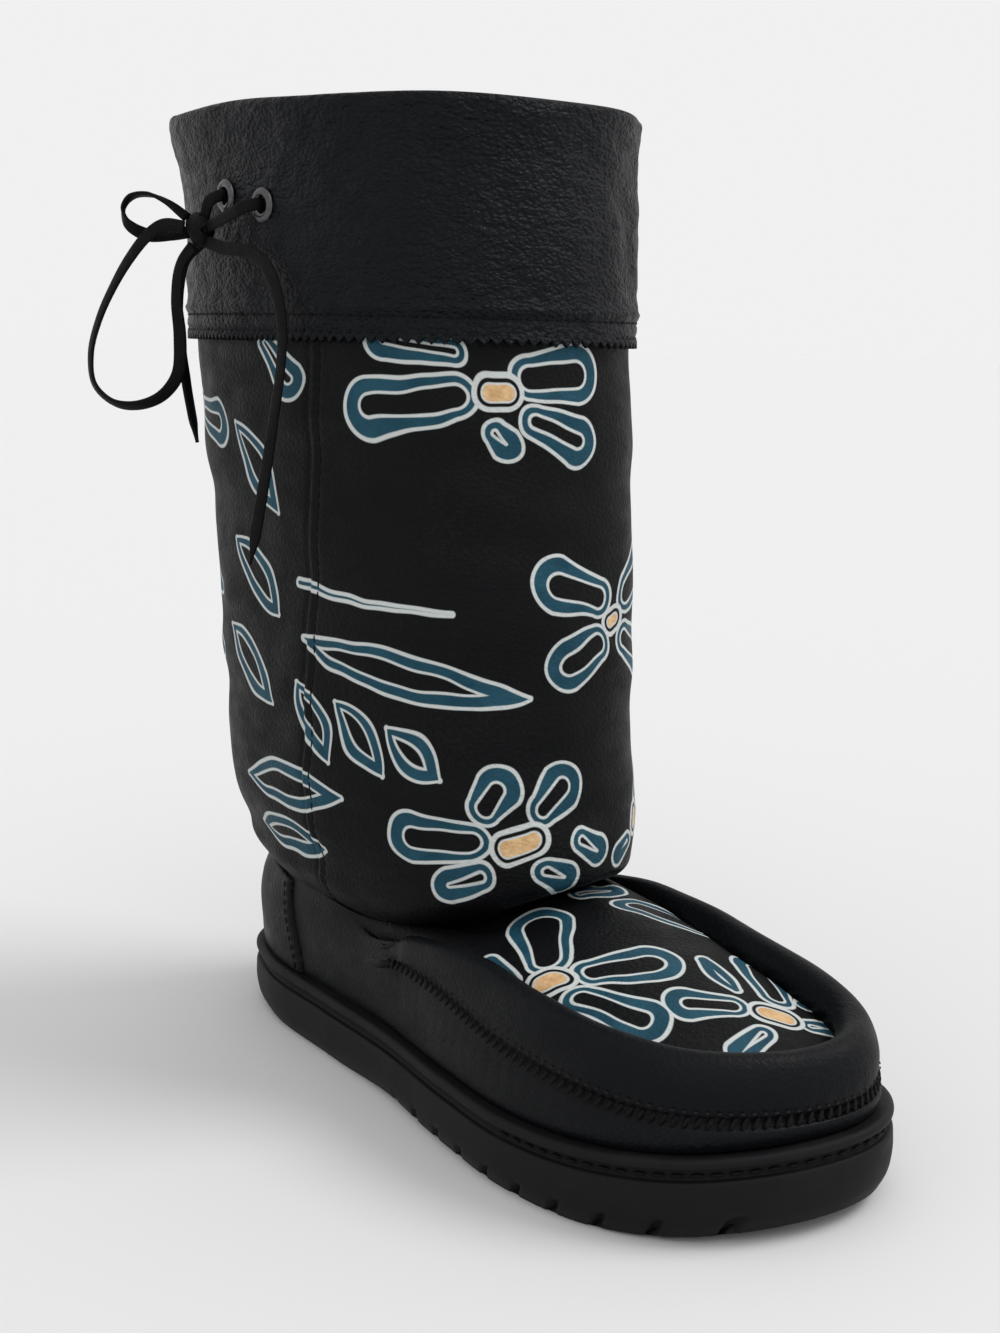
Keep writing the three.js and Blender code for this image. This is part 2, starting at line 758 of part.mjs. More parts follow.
addPiece("eyelet_rear", makeEyelet(eyeletSpots.rear), darkSteel);
addPiece("eyelet_front", makeEyelet(eyeletSpots.front), darkSteel);
addPiece("lace_knot", makeKnot(), thongLeather);
for (const [name, route] of Object.entries(laceRoutes)) {
  addPiece(name, thong(route, route.length), thongLeather);
}

export default boot;
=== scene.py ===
import math

import bmesh
import bpy
import numpy as np
from mathutils import Matrix, Vector, noise


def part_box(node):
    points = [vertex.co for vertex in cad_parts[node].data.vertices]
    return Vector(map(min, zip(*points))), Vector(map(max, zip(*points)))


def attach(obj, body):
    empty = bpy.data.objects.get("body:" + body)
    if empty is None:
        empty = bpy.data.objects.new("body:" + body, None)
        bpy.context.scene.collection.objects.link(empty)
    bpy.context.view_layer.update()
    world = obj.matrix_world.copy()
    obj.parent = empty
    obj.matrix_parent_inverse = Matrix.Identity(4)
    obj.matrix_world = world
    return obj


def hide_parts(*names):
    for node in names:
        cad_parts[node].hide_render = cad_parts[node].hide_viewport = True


# A right mukluk boot: moccasin foot on a rubber cupsole, printed leather shaft, folded cuff and bow.
# Sizes are in millimetres from the back of the heel, and become metres in the part's frame.
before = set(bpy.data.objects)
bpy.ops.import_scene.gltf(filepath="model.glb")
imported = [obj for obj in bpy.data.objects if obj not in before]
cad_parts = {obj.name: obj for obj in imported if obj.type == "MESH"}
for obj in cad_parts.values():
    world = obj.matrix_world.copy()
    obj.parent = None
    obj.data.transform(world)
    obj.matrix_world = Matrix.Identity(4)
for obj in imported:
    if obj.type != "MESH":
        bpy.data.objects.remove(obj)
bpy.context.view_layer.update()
mm = 0.001
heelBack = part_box("outsole")[0].x
print("frame loaded")


def placed(points):
    return np.asarray(points, float) * mm + np.array([heelBack, 0, 0])


def smoothStep(value, low, high):
    share = np.clip((np.asarray(value, float) - low) / (high - low), 0, 1)
    return share * share * (3 - 2 * share)


def bell(value, middle, width):
    return np.exp(-(((value - middle) / width) ** 2))


def unit(ways):
    return ways / np.linalg.norm(ways, axis=1, keepdims=True)


# Camera: the boot seen from its outer front, a little from above
view = {
    "place": (0.4302, -0.3184, 0.2298),
    "forward": (-0.72663, 0.63913, -0.25205),
    "roll": 1.3,  # degrees
    "lens": 47.4,
    "shift": (-0.119, 0.103),
}


def addCamera():
    data = bpy.data.cameras.new("camera")
    data.sensor_width = 36
    data.lens = view["lens"]
    data.shift_x, data.shift_y = view["shift"]
    camera = bpy.data.objects.new("camera", data)
    bpy.context.scene.collection.objects.link(camera)
    camera.location = view["place"]
    turn = Vector(view["forward"]).to_track_quat("-Z", "Y").to_matrix()
    camera.rotation_euler = (turn @ Matrix.Rotation(math.radians(view["roll"]), 3, "Z")).to_euler()
    bpy.context.scene.camera = camera


addCamera()
print("camera ready")


# Small tools for meshes
def finishPiece(name, mesh, materials, replaced=()):
    data = bpy.data.meshes.new(name)
    mesh.to_mesh(data)
    mesh.free()
    data.shade_smooth()
    for material in materials:
        data.materials.append(material)
    piece = bpy.data.objects.new(name, data)
    bpy.context.scene.collection.objects.link(piece)
    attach(piece, "root")
    if replaced:
        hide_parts(*replaced)
    return piece


# A grid bent over a surface: place(u, v) gives points, and flat(u, v) the cut-out pattern in metres
def sheetMesh(columns, rows, place, flat=None, mesh=None):
    mesh = mesh or bmesh.new()
    made = bmesh.ops.create_grid(mesh, x_segments=columns, y_segments=rows, size=1)["verts"]
    square = np.array([vert.co[:2] for vert in made])
    u, v = (square[:, 0] + 1) / 2, (square[:, 1] + 1) / 2
    for vert, spot in zip(made, placed(place(u, v))):
        vert.co = spot
    layer = mesh.loops.layers.uv.get("flat") or mesh.loops.layers.uv.new("flat")
    if flat:
        marks = dict(zip(made, np.stack(flat(u, v), 1)))
        for face in {face for vert in made for face in vert.link_faces}:
            for loop in face.loops:
                loop[layer].uv = marks[loop.vert]
    return mesh


def closeSeams(mesh, distance=1e-6):
    bmesh.ops.remove_doubles(mesh, verts=mesh.verts, dist=distance)
    return mesh


# A thickness inwards from the face
def addWall(piece, thickness):
    wall = piece.modifiers.new("wall", "SOLIDIFY")
    wall.thickness = thickness * mm
    wall.offset = -1


# Points along a smooth line through a route, as the part's own cords run
def smoothRoute(route, count):
    points = [np.array(point, float) for point in route]
    points = [2 * points[0] - points[1], *points, 2 * points[-1] - points[-2]]
    line = []
    spans = len(points) - 3
    for step in np.linspace(0, spans, count):
        k = min(int(step), spans - 1)
        line.append(catmull(*points[k : k + 4], step - k))
    return np.array(line)


def catmull(before, start, end, after, share):
    steps = (start - before, end - start, after - end)
    gaps = [max(np.sum(step**2) ** 0.25, 1e-4) for step in steps]
    first = (start - before) / gaps[0] - (end - before) / (gaps[0] + gaps[1]) + (end - start) / gaps[1]
    last = (end - start) / gaps[1] - (after - start) / (gaps[1] + gaps[2]) + (after - end) / gaps[2]
    first, last = first * gaps[1], last * gaps[1]
    return (
        start
        + first * share
        + (-3 * start + 3 * end - 2 * first - last) * share**2
        + (2 * start - 2 * end + first + last) * share**3
    )


# The lace: a flat leather thong that runs through the eyelets and is tied in a bow
lace = {
    "width": 3.8,
    "thickness": 1.2,
    "sides": 12,
    "pointsPerStep": 7,
    "taper": 1.6,  # how quickly a bare end narrows
    "knot": (66, -65, 260),
    "facing": (0.45, -1, 0.15),  # the way out of the boot at the bow
}
laceRoutes = {
    "loopUpper": {
        "node": "lace_loop_upper",
        "turns": (60, 80, 95, 85, 60, 20, 0, -20, 0),
        "points": [
            (63, -68.4, 263.3), (59, -72.5, 267.5), (55.5, -76.5, 269.5), (52, -80.3, 268.8),
            (50.3, -82.2, 265.6), (50.4, -81.2, 261.4), (52.6, -76.4, 258.4), (56.6, -70.8, 258.5),
            (60.8, -66.9, 259.5),
        ],
        "far": "knot",
    },
    "loopLower": {
        "node": "lace_loop_lower",
        "turns": (10, 5, 0, 10, 20, 25, 30, 40, 55, 60, 60, 50, 30, 0, -10, 0),
        "points": [
            (64.8, -70.4, 260.5), (61, -75, 261), (57, -78, 258.2), (52, -82, 251.3),
            (48, -85.5, 243.5), (44.5, -89, 234), (42.4, -91.2, 224), (43, -90.8, 215),
            (46.5, -86.8, 210), (51, -81.8, 209.2), (56, -76, 212), (59.5, -72, 218.5),
            (60.5, -71.2, 229), (60, -71.5, 241), (61.6, -70.6, 250), (65.4, -68.3, 255.3),
        ],
        "far": "knot",
    },
    "endRear": {
        "node": "lace_end_rear",
        "turns": (0, 10, 30, 60, 95, 90, 85),
        "points": [
            (61.8, -63.9, 256.4), (57.5, -66.5, 252), (56, -68, 243), (56, -68.2, 230),
            (56.5, -68, 218), (58, -67.4, 208), (60, -66.8, 198.5),
        ],
        "far": "bare",
    },
    "endFront": {
        "node": "lace_end_front",
        "turns": (0, 0, 0, 0, 5, 10, 15, 10, 0, -5, -10),
        "points": [
            (70.1, -66.1, 256.4), (79, -65.8, 254.5), (89, -64.2, 253.6), (97.5, -63, 250.5),
            (103.5, -62.8, 243.5), (106.5, -62.8, 232.5), (105.5, -63.2, 221), (102.5, -63.8, 209),
            (98, -64.6, 193), (93.5, -65.4, 178), (89, -66, 164.5),
        ],
        "far": "bare",
    },
}


# A flat strip along a line, faced outwards from the boot and turned by degrees along the way
def stripMesh(route, turns, width, mesh=None, tipped=False):
    count = (len(route) - 1) * lace["pointsPerStep"]
    line = smoothRoute(route, count + 1)
    along = unit(np.gradient(line, axis=0))
    face = unit(np.cross(along, np.cross(np.array(lace["facing"]), along)))
    side = np.cross(along, face)
    shares = np.linspace(0, 1, count + 1)
    turn = np.radians(np.interp(shares, np.linspace(0, 1, len(turns)), turns))[:, None]
    face, side = (
        face * np.cos(turn) + side * np.sin(turn),
        side * np.cos(turn) - face * np.sin(turn),
    )

    def place(u, v):
        angle = -2 * math.pi * u
        index = np.rint(v * count).astype(int)
        narrow = np.ones(len(v))
        if tipped:
            narrow = np.clip((1 - v) * count / lace["pointsPerStep"] * lace["taper"], 0.12, 1)
        edge = np.sign(np.cos(angle)) * np.abs(np.cos(angle)) ** 0.55
        flatness = np.sign(np.sin(angle)) * np.abs(np.sin(angle)) ** 0.8
        out = (edge * narrow * width / 2)[:, None] * side[index]
        return line[index] + out + (flatness * lace["thickness"] / 2)[:, None] * face[index]

    def flat(u, v):
        return u * width * 2 * mm, v * len(route) * 10 * mm

    mesh = sheetMesh(lace["sides"], count, place, flat, mesh)
    closeSeams(mesh)
    bmesh.ops.holes_fill(mesh, edges=[edge for edge in mesh.edges if edge.is_boundary], sides=0)
    return mesh, line


# Materials
def setInput(tree, made, socket, value):
    if isinstance(value, bpy.types.NodeSocket):
        tree.links.new(value, made.inputs[socket])
    else:
        made.inputs[socket].default_value = value


def addNode(tree, kind, inputs=None, **settings):
    made = tree.nodes.new(kind)
    for name, value in settings.items():
        setattr(made, name, value)
    for socket, value in (inputs or {}).items():
        setInput(tree, made, socket, value)
    return made


def mathNode(tree, operation, *values, clamp=False):
    inputs = dict(enumerate(values))
    return addNode(tree, "ShaderNodeMath", inputs, operation=operation, use_clamp=clamp).outputs[0]


def vectorNode(tree, operation, *values):
    made = addNode(tree, "ShaderNodeVectorMath", dict(enumerate(values)), operation=operation)
    return made.outputs["Value" if operation in ("DOT_PRODUCT", "DISTANCE") else "Vector"]


def newMaterial(name, settings):
    material = bpy.data.materials.new(name)
    material.use_nodes = True
    tree = material.node_tree
    shader = tree.nodes["Principled BSDF"]
    for socket, value in settings.items():
        shader.inputs[socket].default_value = value
    return material, tree, shader


def mixColour(tree, factor, low, high):
    made = addNode(tree, "ShaderNodeMix", data_type="RGBA")
    setInput(tree, made, 0, factor)
    for socket, value in ((6, low), (7, high)):
        setInput(tree, made, socket, (*value, 1) if isinstance(value, tuple) else value)
    return made.outputs[2]


def ramp(tree, value, low, high, start=0.0, end=1.0):
    inputs = {"Value": value, "From Min": low, "From Max": high, "To Min": start, "To Max": end}
    return addNode(tree, "ShaderNodeMapRange", inputs).outputs[0]


def objectSpot(tree, scale=(1, 1, 1)):
    spot = addNode(tree, "ShaderNodeTexCoord").outputs["Object"]
    return addNode(tree, "ShaderNodeMapping", {"Vector": spot, "Scale": scale}).outputs[0]


def noiseValue(tree, spot, scale, detail=3.0, roughness=0.55):
    inputs = {"Vector": spot, "Scale": scale, "Detail": detail, "Roughness": roughness}
    return addNode(tree, "ShaderNodeTexNoise", inputs).outputs["Fac"]


# Pebbled leather: cells pulled about by noise, with finer pores and long soft wrinkles
def leatherHeight(tree, grain):
    spot = objectSpot(tree, grain["stretch"])
    inputs = {"Vector": spot, "Scale": grain["cells"] * 0.35, "Detail": 2.0}
    drift = addNode(tree, "ShaderNodeTexNoise", inputs).outputs["Color"]
    pulled = vectorNode(tree, "MULTIPLY_ADD", drift, (grain["drift"],) * 3, spot)
    cells = addNode(
        tree,
        "ShaderNodeTexVoronoi",
        {"Vector": pulled, "Scale": grain["cells"], "Smoothness": 0.6},
        feature="SMOOTH_F1",
    ).outputs["Distance"]
    pebble = ramp(tree, cells, 0.15, 0.75, 1, 0)
    fine = noiseValue(tree, spot, grain["cells"] * 3.2, 4.0)
    wrinkle = noiseValue(tree, objectSpot(tree, grain["wrinkleStretch"]), grain["wrinkles"], 4.0, 0.6)
    mixed = mathNode(tree, "MULTIPLY_ADD", fine, grain["fine"], pebble)
    return mathNode(tree, "MULTIPLY_ADD", wrinkle, grain["wrinkleDepth"], mixed), pebble, wrinkle


leathers = {
    "smooth": {
        "colour": (0.0022, 0.0026, 0.0034), "worn": (0.0080, 0.0084, 0.0095), "roughness": (0.42, 0.58),
        "cells": 950, "drift": 0.0012, "stretch": (1, 1, 1), "fine": 0.35,
        "wrinkles": 70, "wrinkleStretch": (1, 1, 1.6), "wrinkleDepth": 1.6,
        "depth": 0.00009, "specular": 0.11,
    },
    "grain": {
        "colour": (0.0020, 0.0026, 0.0040), "worn": (0.0060, 0.0070, 0.0092), "roughness": (0.34, 0.5),
        "cells": 640, "drift": 0.0028, "stretch": (1, 1, 1.5), "fine": 0.25,
        "wrinkles": 170, "wrinkleStretch": (1, 1, 2.2), "wrinkleDepth": 3.2,
        "depth": 0.00044, "specular": 0.12,
    },
    "printed": {
        "colour": (0.0028, 0.0030, 0.0036), "worn": (0.0075, 0.0076, 0.0085), "roughness": (0.45, 0.62),
        "cells": 820, "drift": 0.0016, "stretch": (1, 1, 1.2), "fine": 0.35,
        "wrinkles": 80, "wrinkleStretch": (1, 1, 2.0), "wrinkleDepth": 1.8,
        "depth": 0.00013, "specular": 0.09,
    },
    "thong": {
        "colour": (0.0015, 0.0015, 0.0018), "worn": (0.004, 0.004, 0.0045), "roughness": (0.5, 0.68),
        "cells": 1500, "drift": 0.001, "stretch": (1, 1, 1), "fine": 0.5,
        "wrinkles": 300, "wrinkleStretch": (1, 1, 1), "wrinkleDepth": 1.0,
        "depth": 0.00008, "specular": 0.11,
    },
}


def addBump(tree, shader, height, distance):
    bump = addNode(tree, "ShaderNodeBump", {"Height": height, "Strength": 1.0, "Distance": distance})
    tree.links.new(bump.outputs[0], shader.inputs["Normal"])


def leatherMaterial(name, grain, colourOver=None):
    material, tree, shader = newMaterial(name, {"Specular IOR Level": grain["specular"]})
    height, pebble, wrinkle = leatherHeight(tree, grain)
    tone = noiseValue(tree, objectSpot(tree), 28, 3.0)
    patches, ridges = ramp(tree, tone, 0.42, 0.75), ramp(tree, pebble, 0.3, 1)
    worn = mathNode(tree, "MULTIPLY", patches, ridges, clamp=True)
    colour = mixColour(tree, worn, grain["colour"], grain["worn"])
    if colourOver:
        colour = colourOver(tree, colour)
    tree.links.new(colour, shader.inputs["Base Color"])
    tree.links.new(ramp(tree, wrinkle, 0.3, 0.7, *grain["roughness"]), shader.inputs["Roughness"])
    addBump(tree, shader, height, grain["depth"])
    return material


def rubberMaterial():
    material, tree, shader = newMaterial("soleRubber", {"Specular IOR Level": 0.1})
    spot = objectSpot(tree)
    dust = ramp(tree, noiseValue(tree, spot, 60, 5.0, 0.65), 0.5, 0.8)
    colour = mixColour(tree, dust, (0.0068, 0.0069, 0.0078), (0.0120, 0.0120, 0.0128))
    low = addNode(tree, "ShaderNodeSeparateXYZ", {0: spot}).outputs[2]
    scraped, grime = ramp(tree, low, 0.006, 0.0, 0, 0.8), ramp(tree, dust, 0, 0.6, 0.2, 1)
    scuffed = mathNode(tree, "MULTIPLY", scraped, grime)
    tree.links.new(mixColour(tree, scuffed, colour, (0.030, 0.029, 0.028)), shader.inputs["Base Color"])
    tree.links.new(ramp(tree, dust, 0, 1, 0.55, 0.78), shader.inputs["Roughness"])
    speckle = noiseValue(tree, spot, 1500, 2.0)
    soft = noiseValue(tree, spot, 220, 3.0)
    height = mathNode(tree, "MULTIPLY_ADD", soft, 0.8, speckle)
    addBump(tree, shader, height, 0.00007)
    return material


def fleeceMaterial():
    settings = {"Roughness": 1.0, "Specular IOR Level": 0.1, "Sheen Weight": 0.35, "Sheen Roughness": 0.5}
    material, tree, shader = newMaterial("fleece", settings)
    spot = objectSpot(tree)
    tufts = noiseValue(tree, spot, 420, 4.0, 0.7)
    clumps = noiseValue(tree, spot, 110, 2.0)
    shade = mathNode(tree, "MULTIPLY", ramp(tree, tufts, 0.3, 0.7), ramp(tree, clumps, 0.2, 0.8, 0.4, 1))
    colour = mixColour(tree, shade, (0.008, 0.008, 0.009), (0.036, 0.036, 0.038))
    tree.links.new(colour, shader.inputs["Base Color"])
    height = mathNode(tree, "MULTIPLY_ADD", clumps, 1.5, tufts)
    addBump(tree, shader, height, 0.0012)
    return material


def steelMaterial():
    material, tree, shader = newMaterial("eyeletSteel", {"Metallic": 1.0})
    smear = noiseValue(tree, objectSpot(tree), 900, 4.0)
    colour = mixColour(tree, smear, (0.045, 0.045, 0.048), (0.13, 0.13, 0.135))
    tree.links.new(colour, shader.inputs["Base Color"])
    tree.links.new(ramp(tree, smear, 0.3, 0.7, 0.16, 0.36), shader.inputs["Roughness"])
    return material


def threadMaterial():
    material, tree, shader = newMaterial("thread", {"Specular IOR Level": 0.1})
    inputs = {"Vector": objectSpot(tree), "Scale": 900.0, "Distortion": 2.0}
    twist = addNode(tree, "ShaderNodeTexWave", inputs)
    colour = mixColour(tree, twist.outputs["Fac"], (0.0018, 0.0018, 0.0022), (0.0065, 0.0065, 0.0070))
    tree.links.new(colour, shader.inputs["Base Color"])
    shader.inputs["Roughness"].default_value = 0.6
    addBump(tree, shader, twist.outputs["Fac"], 0.00008)
    return material


# The print: petals and leaves in teal with pale outlines, round tan centres. Each is the space
# around a short line from its root to its tip, measured in the flat pattern of its panel.
printInks = {
    "pale": (0.50, 0.53, 0.52),
    "teal": ((0.009, 0.045, 0.070), (0.016, 0.066, 0.098)),
    "tan": ((0.50, 0.30, 0.14), (0.64, 0.44, 0.24)),
    "outline": 1.1,
    "inner": 0.85,
    "heart": (-2.6, -1.1, 0.0, 0.55),  # how far inside a centre each of its rings begins
    "band": (3.6, 5.8),  # depth of the teal at a petal's root and tip
    "soft": 0.16,
    "waver": 1.3,
}


def strokeGroup():
    group = bpy.data.node_groups.new("printStroke", "ShaderNodeTree")
    face = group.interface
    for name, kind in (
        ("Spot", "Vector"), ("Root", "Vector"), ("Reach", "Vector"), ("Inverse", "Float"),
        ("Start", "Float"), ("Growth", "Float"), ("Belly", "Float"), ("Edge", "Float"), ("Core", "Float"),
    ):
        face.new_socket(name, in_out="INPUT", socket_type="NodeSocket" + kind)
    for name in ("Edge", "Core"):
        face.new_socket(name, in_out="OUTPUT", socket_type="NodeSocketFloat")
    inside = group.nodes.new("NodeGroupInput").outputs
    # A trace of the strokes so far, so that Cycles works them out one after another
    spot = vectorNode(group, "MULTIPLY_ADD", inside["Edge"], (1e-6,) * 3, inside["Spot"])
    offset = vectorNode(group, "SUBTRACT", spot, inside["Root"])
    across = vectorNode(group, "DOT_PRODUCT", offset, inside["Reach"])
    share = mathNode(group, "MULTIPLY", across, inside["Inverse"], clamp=True)
    near = addNode(group, "ShaderNodeVectorMath", {0: inside["Reach"], "Scale": share}, operation="SCALE")
    away = vectorNode(group, "DISTANCE", offset, near.outputs[0])
    radius = mathNode(group, "MULTIPLY_ADD", share, inside["Growth"], inside["Start"])
    hump = mathNode(group, "MULTIPLY", share, mathNode(group, "SUBTRACT", 1.0, share))
    radius = mathNode(group, "MULTIPLY_ADD", hump, inside["Belly"], radius)
    edge = mathNode(group, "SUBTRACT", away, radius)
    low, high = printInks["band"]
    depth = mathNode(group, "MULTIPLY_ADD", share, (high - low) * mm, low * mm)
    core = mathNode(group, "MINIMUM", mathNode(group, "ADD", edge, depth), inside["Core"])
    edge = mathNode(group, "MINIMUM", edge, inside["Edge"])
    out = group.nodes.new("NodeGroupOutput")
    group.links.new(edge, out.inputs["Edge"])
    group.links.new(core, out.inputs["Core"])
    return group


strokes = strokeGroup()


# Adds a stroke to those drawn so far: the distances to their nearest edge and core
def addStroke(tree, spot, drawn, root, tip, start, end, belly=0.0):
    x, y = tip[0] - root[0], tip[1] - root[1]
    made = tree.nodes.new("ShaderNodeGroup")
    made.node_tree = strokes
    inputs = {
        "Spot": spot, "Root": (root[0] * mm, root[1] * mm, 0), "Reach": (x * mm, y * mm, 0),
        "Inverse": 1 / (x**2 + y**2) / mm**2, "Start": start * mm, "Growth": (end - start) * mm,
        "Belly": 4 * belly * mm, "Edge": drawn[0], "Core": drawn[1],
    }
    for socket, value in inputs.items():
        setInput(tree, made, socket, value)
    return made.outputs["Edge"], made.outputs["Core"]


def printColour(pattern):
    def paint(tree, leather):
        spot = addNode(tree, "ShaderNodeUVMap", uv_map="flat").outputs[0]
        waver = addNode(tree, "ShaderNodeTexNoise", {"Vector": spot, "Scale": 48.0, "Detail": 1.0})
        centred = vectorNode(tree, "SUBTRACT", waver.outputs["Color"], (0.5, 0.5, 0.5))
        pull = 4 * printInks["waver"] * mm
        pulled = vectorNode(tree, "MULTIPLY_ADD", centred, (pull, pull, 0), spot)
        level = vectorNode(tree, "MULTIPLY", pulled, (1, 1, 0))
        edge = core = heart = 1.0
        for mark in pattern["leaves"]:
            edge, core = addStroke(tree, level, (edge, core), *mark)
        for flower in pattern["flowers"]:
            heart = heartStroke(tree, level, heart, flower)
        soft = printInks["soft"] * mm

        def under(value, depth):
            return ramp(tree, value, -depth * mm - soft, -depth * mm + soft, 1, 0)

        teal, tan = (
            mixColour(tree, ramp(tree, noiseValue(tree, level, scale), 0.35, 0.65), *printInks[ink])
            for ink, scale in (("teal", 90), ("tan", 260))
        )
        colour = mixColour(tree, under(edge, 0), leather, printInks["pale"])
        colour = mixColour(tree, under(edge, printInks["outline"]), colour, teal)
        colour = mixColour(tree, under(core, -printInks["inner"]), colour, printInks["pale"])
        colour = mixColour(tree, under(core, 0), colour, leather)
        for depth, ink in zip(printInks["heart"], (printInks["pale"], leather, printInks["pale"], tan)):
            colour = mixColour(tree, under(heart, depth), colour, ink)
        return colour

    return paint


def heartStroke(tree, spot, drawn, flower):
    length, half = flower["heart"]
    angle = math.radians(flower.get("lie", 0))
    reach = (math.cos(angle) * length, math.sin(angle) * length)
    root = [flower["at"][k] - reach[k] / 2 for k in (0, 1)]
    tip = [flower["at"][k] + reach[k] / 2 for k in (0, 1)]
    return addStroke(tree, spot, (drawn, 1.0), root, tip, half, half)[0]


# Surfaces are read from a table of rings: whole places are its rings, turns run counterclockwise
# from the back of the boot, seen from above
def ringSpot(table, turn, place):
    rings, columns = table.shape[:2]
    column = (turn % 1) * columns
    left = np.floor(column).astype(int) % columns
    side = (column - np.floor(column))[:, None]
    low = np.clip(np.floor(place).astype(int), 0, rings - 2)
    share = (place - low)[:, None]

    def at(row):
        row = np.clip(row, 0, rings - 1)
        return table[row, left] * (1 - side) + table[row, (left + 1) % columns] * side

    before, start, end, after = at(low - 1), at(low), at(low + 1), at(low + 2)
    s2, s3 = share**2, share**3
    first, last = (end - before) / 2, (after - start) / 2
    spot = (2 * s3 - 3 * s2 + 1) * start + (s3 - 2 * s2 + share) * first
    spot += (3 * s2 - 2 * s3) * end + (s3 - s2) * last
    return np.clip(spot, np.minimum(start, end) - 1, np.maximum(start, end) + 1)


def surfaceAt(table, turn, place, out=0.0):
    given = (np.atleast_1d(np.array(value, float)) for value in (turn, place, out))
    turn, place, out = np.broadcast_arrays(*given)
    spot = ringSpot(table, turn, place)
    last = table.shape[0] - 1
    below, above = np.maximum(place - 0.3, 0), np.minimum(place + 0.3, last)
    up = ringSpot(table, turn, above) - ringSpot(table, turn, below)
    around = ringSpot(table, turn + 0.008, place) - ringSpot(table, turn - 0.008, place)
    normal = np.cross(around, up)
    normal /= np.linalg.norm(normal, axis=1, keepdims=True) + 1e-9
    return spot + normal * out[:, None], normal


def softNoise(points, size, seed):
    shifted = np.asarray(points) / size + seed * 7.31
    return np.array([noise.noise(Vector(point)) for point in shifted])


# The sole's outline and the foot's surface, as the part has them
foot = {
    "length": 275,
    "width": 107,
    "columns": 336,
    "soleTop": 22.1,
    "stations": [  # shares of the length, and of the width on the outer and inner side
        (0.05, 0.26, 0.26), (0.15, 0.375, 0.37), (0.3, 0.41, 0.38), (0.45, 0.435, 0.385),
        (0.6, 0.49, 0.435), (0.72, 0.515, 0.475), (0.84, 0.465, 0.465), (0.93, 0.33, 0.39),
        (0.985, 0.11, 0.24),
    ],
    "toeTip": 0.09,
    "crest": [
        (0.4, 51, 53), (0.47, 54, 59), (0.55, 58, 62.5), (0.62, 58.5, 61), (0.8, 54, 54.5),
        (0.9, 51, 51), (1, 49, 49),
    ],
    "seam": [(0.4, 47), (0.55, 46), (0.73, 40), (0.88, 35), (1, 33.5)],
    "rows": [  # inset, its limit, the height it starts from, a rise, and its share of a plain wall
        (4.5, 1, "sole", 0.3, 0), (3.6, 1, "sole", 4, 0.15), (5.2, 0.3, "seam", 0, 0.45),
        (7.6, 0.38, "crest", -8, 0.66), (11.5, 0.53, "crest", -2, 0.78), (15.5, 0.7, "crest", -4, 0.86),
        (18.5, 0.88, "crest", -8, 0.92),
    ],
    "roll": (0.36, 0.48),
    "crown": 3.5,
    "ankleRise": 17,
}
neck = {
    "back": 18, "front": 147, "halfWidth": 39, "sideHeight": 55,
    "backRise": 9, "frontRise": 10, "frontTilt": 0.12, "power": 2.25,
}


def soleEdge():
    length, width = foot["length"], foot["width"]
    outer = [(along * length, -side * width, 0) for along, side, _ in foot["stations"]]
    inner = [(along * length, side * width, 0) for along, _, side in foot["stations"]][::-1]
    toe = (length, foot["toeTip"] * width, 0)
    corners = [np.array(corner, float) for corner in ((0, 0, 0), *outer, toe, *inner)]
    shares = np.linspace(0, 1, 40, endpoint=False)
    fine = [
        catmull(*(corners[(k + step) % len(corners)] for step in (-1, 0, 1, 2)), share)
        for k in range(len(corners))
        for share in shares
    ]
    fine = np.array(fine + fine[:1])
    run = np.concatenate([[0], np.cumsum(np.linalg.norm(np.diff(fine, axis=0), axis=1))])
    spots = np.linspace(0, run[-1], foot["columns"], endpoint=False)
    edge = np.stack([np.interp(spots, run, fine[:, k]) for k in range(3)], 1)
    step = foot["columns"] // 56
    along = unit(np.roll(edge, -step, 0) - np.roll(edge, step, 0))
    return edge, np.stack([along[:, 1], -along[:, 0], 0 * along[:, 0]], 1), run[-1]


edge, outward, soleGirth = soleEdge()


# Values along the sole's edge, read at turns
def aroundSole(values, turn):
    spots = np.arange(foot["columns"] + 1)
    return np.stack(
        [np.interp(turn * foot["columns"], spots, np.append(values[:, k], values[0, k])) for k in (0, 1)], 1
    )


def groundLift(x):
    arch = 0.9 * np.sin(math.pi * np.clip((x - 92) / 58, 0, 1)) ** 2
    return arch + 5.5 * np.clip((x / foot["length"] - 0.78) / 0.22, 0, 1) ** 2


def topLift(x):
    return 5.5 * np.clip((x / foot["length"] - 0.7) / 0.3, 0, 1) ** 2


def neckRing(angle):
    halfLength = (neck["front"] - neck["back"]) / 2
    spread = np.abs(np.cos(angle) / halfLength) ** neck["power"]
    spread += np.abs(np.sin(angle) / neck["halfWidth"]) ** neck["power"]
    reach = spread ** (-1 / neck["power"])
    forward = reach * np.cos(angle) / halfLength
    rise = np.where(forward > 0, neck["frontRise"] * forward**6, neck["backRise"] * forward**2)
    tilt = neck["frontTilt"] * reach * np.sin(angle) * np.maximum(forward, 0)
    x = (neck["front"] + neck["back"]) / 2 + reach * np.cos(angle)
    return np.stack([x, reach * np.sin(angle), neck["sideHeight"] + rise + tilt], 1)


def tableColumn(rows, value, column):
    return np.interp(value, [row[0] for row in rows], [row[column] for row in rows])


